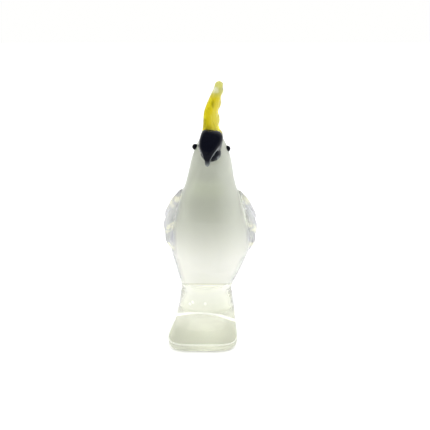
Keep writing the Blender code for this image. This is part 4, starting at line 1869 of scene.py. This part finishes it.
    def _world(self) -> None:
        """Surrounds the bird with soft white light that is dimmer in front."""
        world = bpy.data.worlds.new("surround")
        world.use_nodes = True
        bpy.context.scene.world = world
        bench = Bench(world.node_tree)
        direction = bench.add("ShaderNodeTexCoord").outputs["Generated"]
        frontal = self._lobe(bench, direction, self.front)
        above = self._lobe(bench, direction, self.above)
        dome = self._lobe(bench, direction, self.dome)
        straight, through, gloss = self._rays(bench)
        light = (self.surround + above * self.overhead) * (1.0 - frontal * (1.0 - self.front_light))
        shown = self._lobe(bench, direction, self.behind, self.side_through_glass)
        lifted = self._lobe(bench, direction, self.high_behind, 0.0, self.back_lift)
        mirrored = self.back_gloss - dome * (self.back_gloss - self.dome_gloss)
        strength = light + through * (shown.at_least(lifted) - light) + gloss * (mirrored - light)
        strength = strength + straight * (1.0 - strength)
        sockets = {"Color": self.surround_colour, "Strength": strength}
        background = bench.add("ShaderNodeBackground", None, sockets)
        bench.add("ShaderNodeOutputWorld", None, {"Surface": background.outputs[0]})

    @staticmethod
    def _lobe(
        bench: Bench,
        direction: bpy.types.NodeSocket,
        lobe: Lobe,
        outside: float = 0.0,
        inside: float = 1.0,
    ) -> Signal:
        """Tells how far a direction lies in a patch of the surroundings.

        Args:
            bench: The world's bench.
            direction: The direction's socket.
            lobe: The patch.
            outside: The result outside it.
            inside: The result in its middle.

        Returns:
            The eased result.
        """
        sockets = {0: direction, 1: lobe.axis}
        node = bench.add("ShaderNodeVectorMath", {"operation": "DOT_PRODUCT"}, sockets)
        return bench.signal(node, "Value").ramp(*lobe.reach, outside, inside)

    def _lamp(self, lamp: Lamp) -> None:
        """Adds a soft lamp that gloss and clear glass don't show."""
        data = bpy.data.lights.new(lamp.name, "AREA")
        data.shape = "RECTANGLE"
        data.size, data.size_y = self.lamp_size
        data.energy = lamp.power
        light = bpy.data.objects.new(lamp.name, data)
        place = Vector((lamp.across, self.lamp_back, self.lamp_height))
        self._place(light, place, Vector(self.lamp_aim) - place)
        light.visible_glossy = False
        light.visible_transmission = False


@dataclass
class Cockatoo:
    """The whole bird."""

    brow: float = 0.1555
    eye_over_brow: float = 0.0012
    right_eye_raise: float = 0.0014
    left_eye_proud: float = 0.0019
    right_eye_proud: float = 0.0029
    crest_core_floor: float = 0.1672
    pieces: list[bpy.types.Object] = field(default_factory=list)

    def build(self) -> None:
        """Builds every piece."""
        clear = ClearFinish().material()
        black = BlackFinish().material()
        casing = Casing()
        crest = Crest(casing.crown)
        self.pieces.append(ClearForm(clear, GrooveNodes(), casing, crest).build())
        self.pieces.append(OpalCore(OpalFinish().material()).build())
        self.pieces.append(self._crest_core(crest))
        beak = Beak(casing, black, self.brow)
        self.pieces += [beak.build_upper(), beak.build_lower()]
        left = self.brow + self.eye_over_brow
        right = left + self.right_eye_raise
        self.pieces.append(Eye(Side.LEFT, casing, black, left, self.left_eye_proud).build())
        self.pieces.append(Eye(Side.RIGHT, casing, black, right, self.right_eye_proud).build())

    def _crest_core(self, crest: Crest) -> bpy.types.Object:
        """Builds and dresses the yellow core of the crest."""
        piece = crest.build_core(self.crest_core_floor)
        piece.data.materials.append(YellowFinish().material())
        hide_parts("crest_core")
        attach(piece, BODY)
        return piece


def main() -> None:
    """Builds the studio and the bird, and reports each piece."""
    logging.basicConfig(level=logging.INFO, format="%(name)s: %(message)s")
    Studio().build()
    bird = Cockatoo()
    bird.build()
    for piece in bird.pieces:
        log.info("%s: %d faces", piece.name, len(piece.data.polygons))


if __name__ == "__main__":
    main()
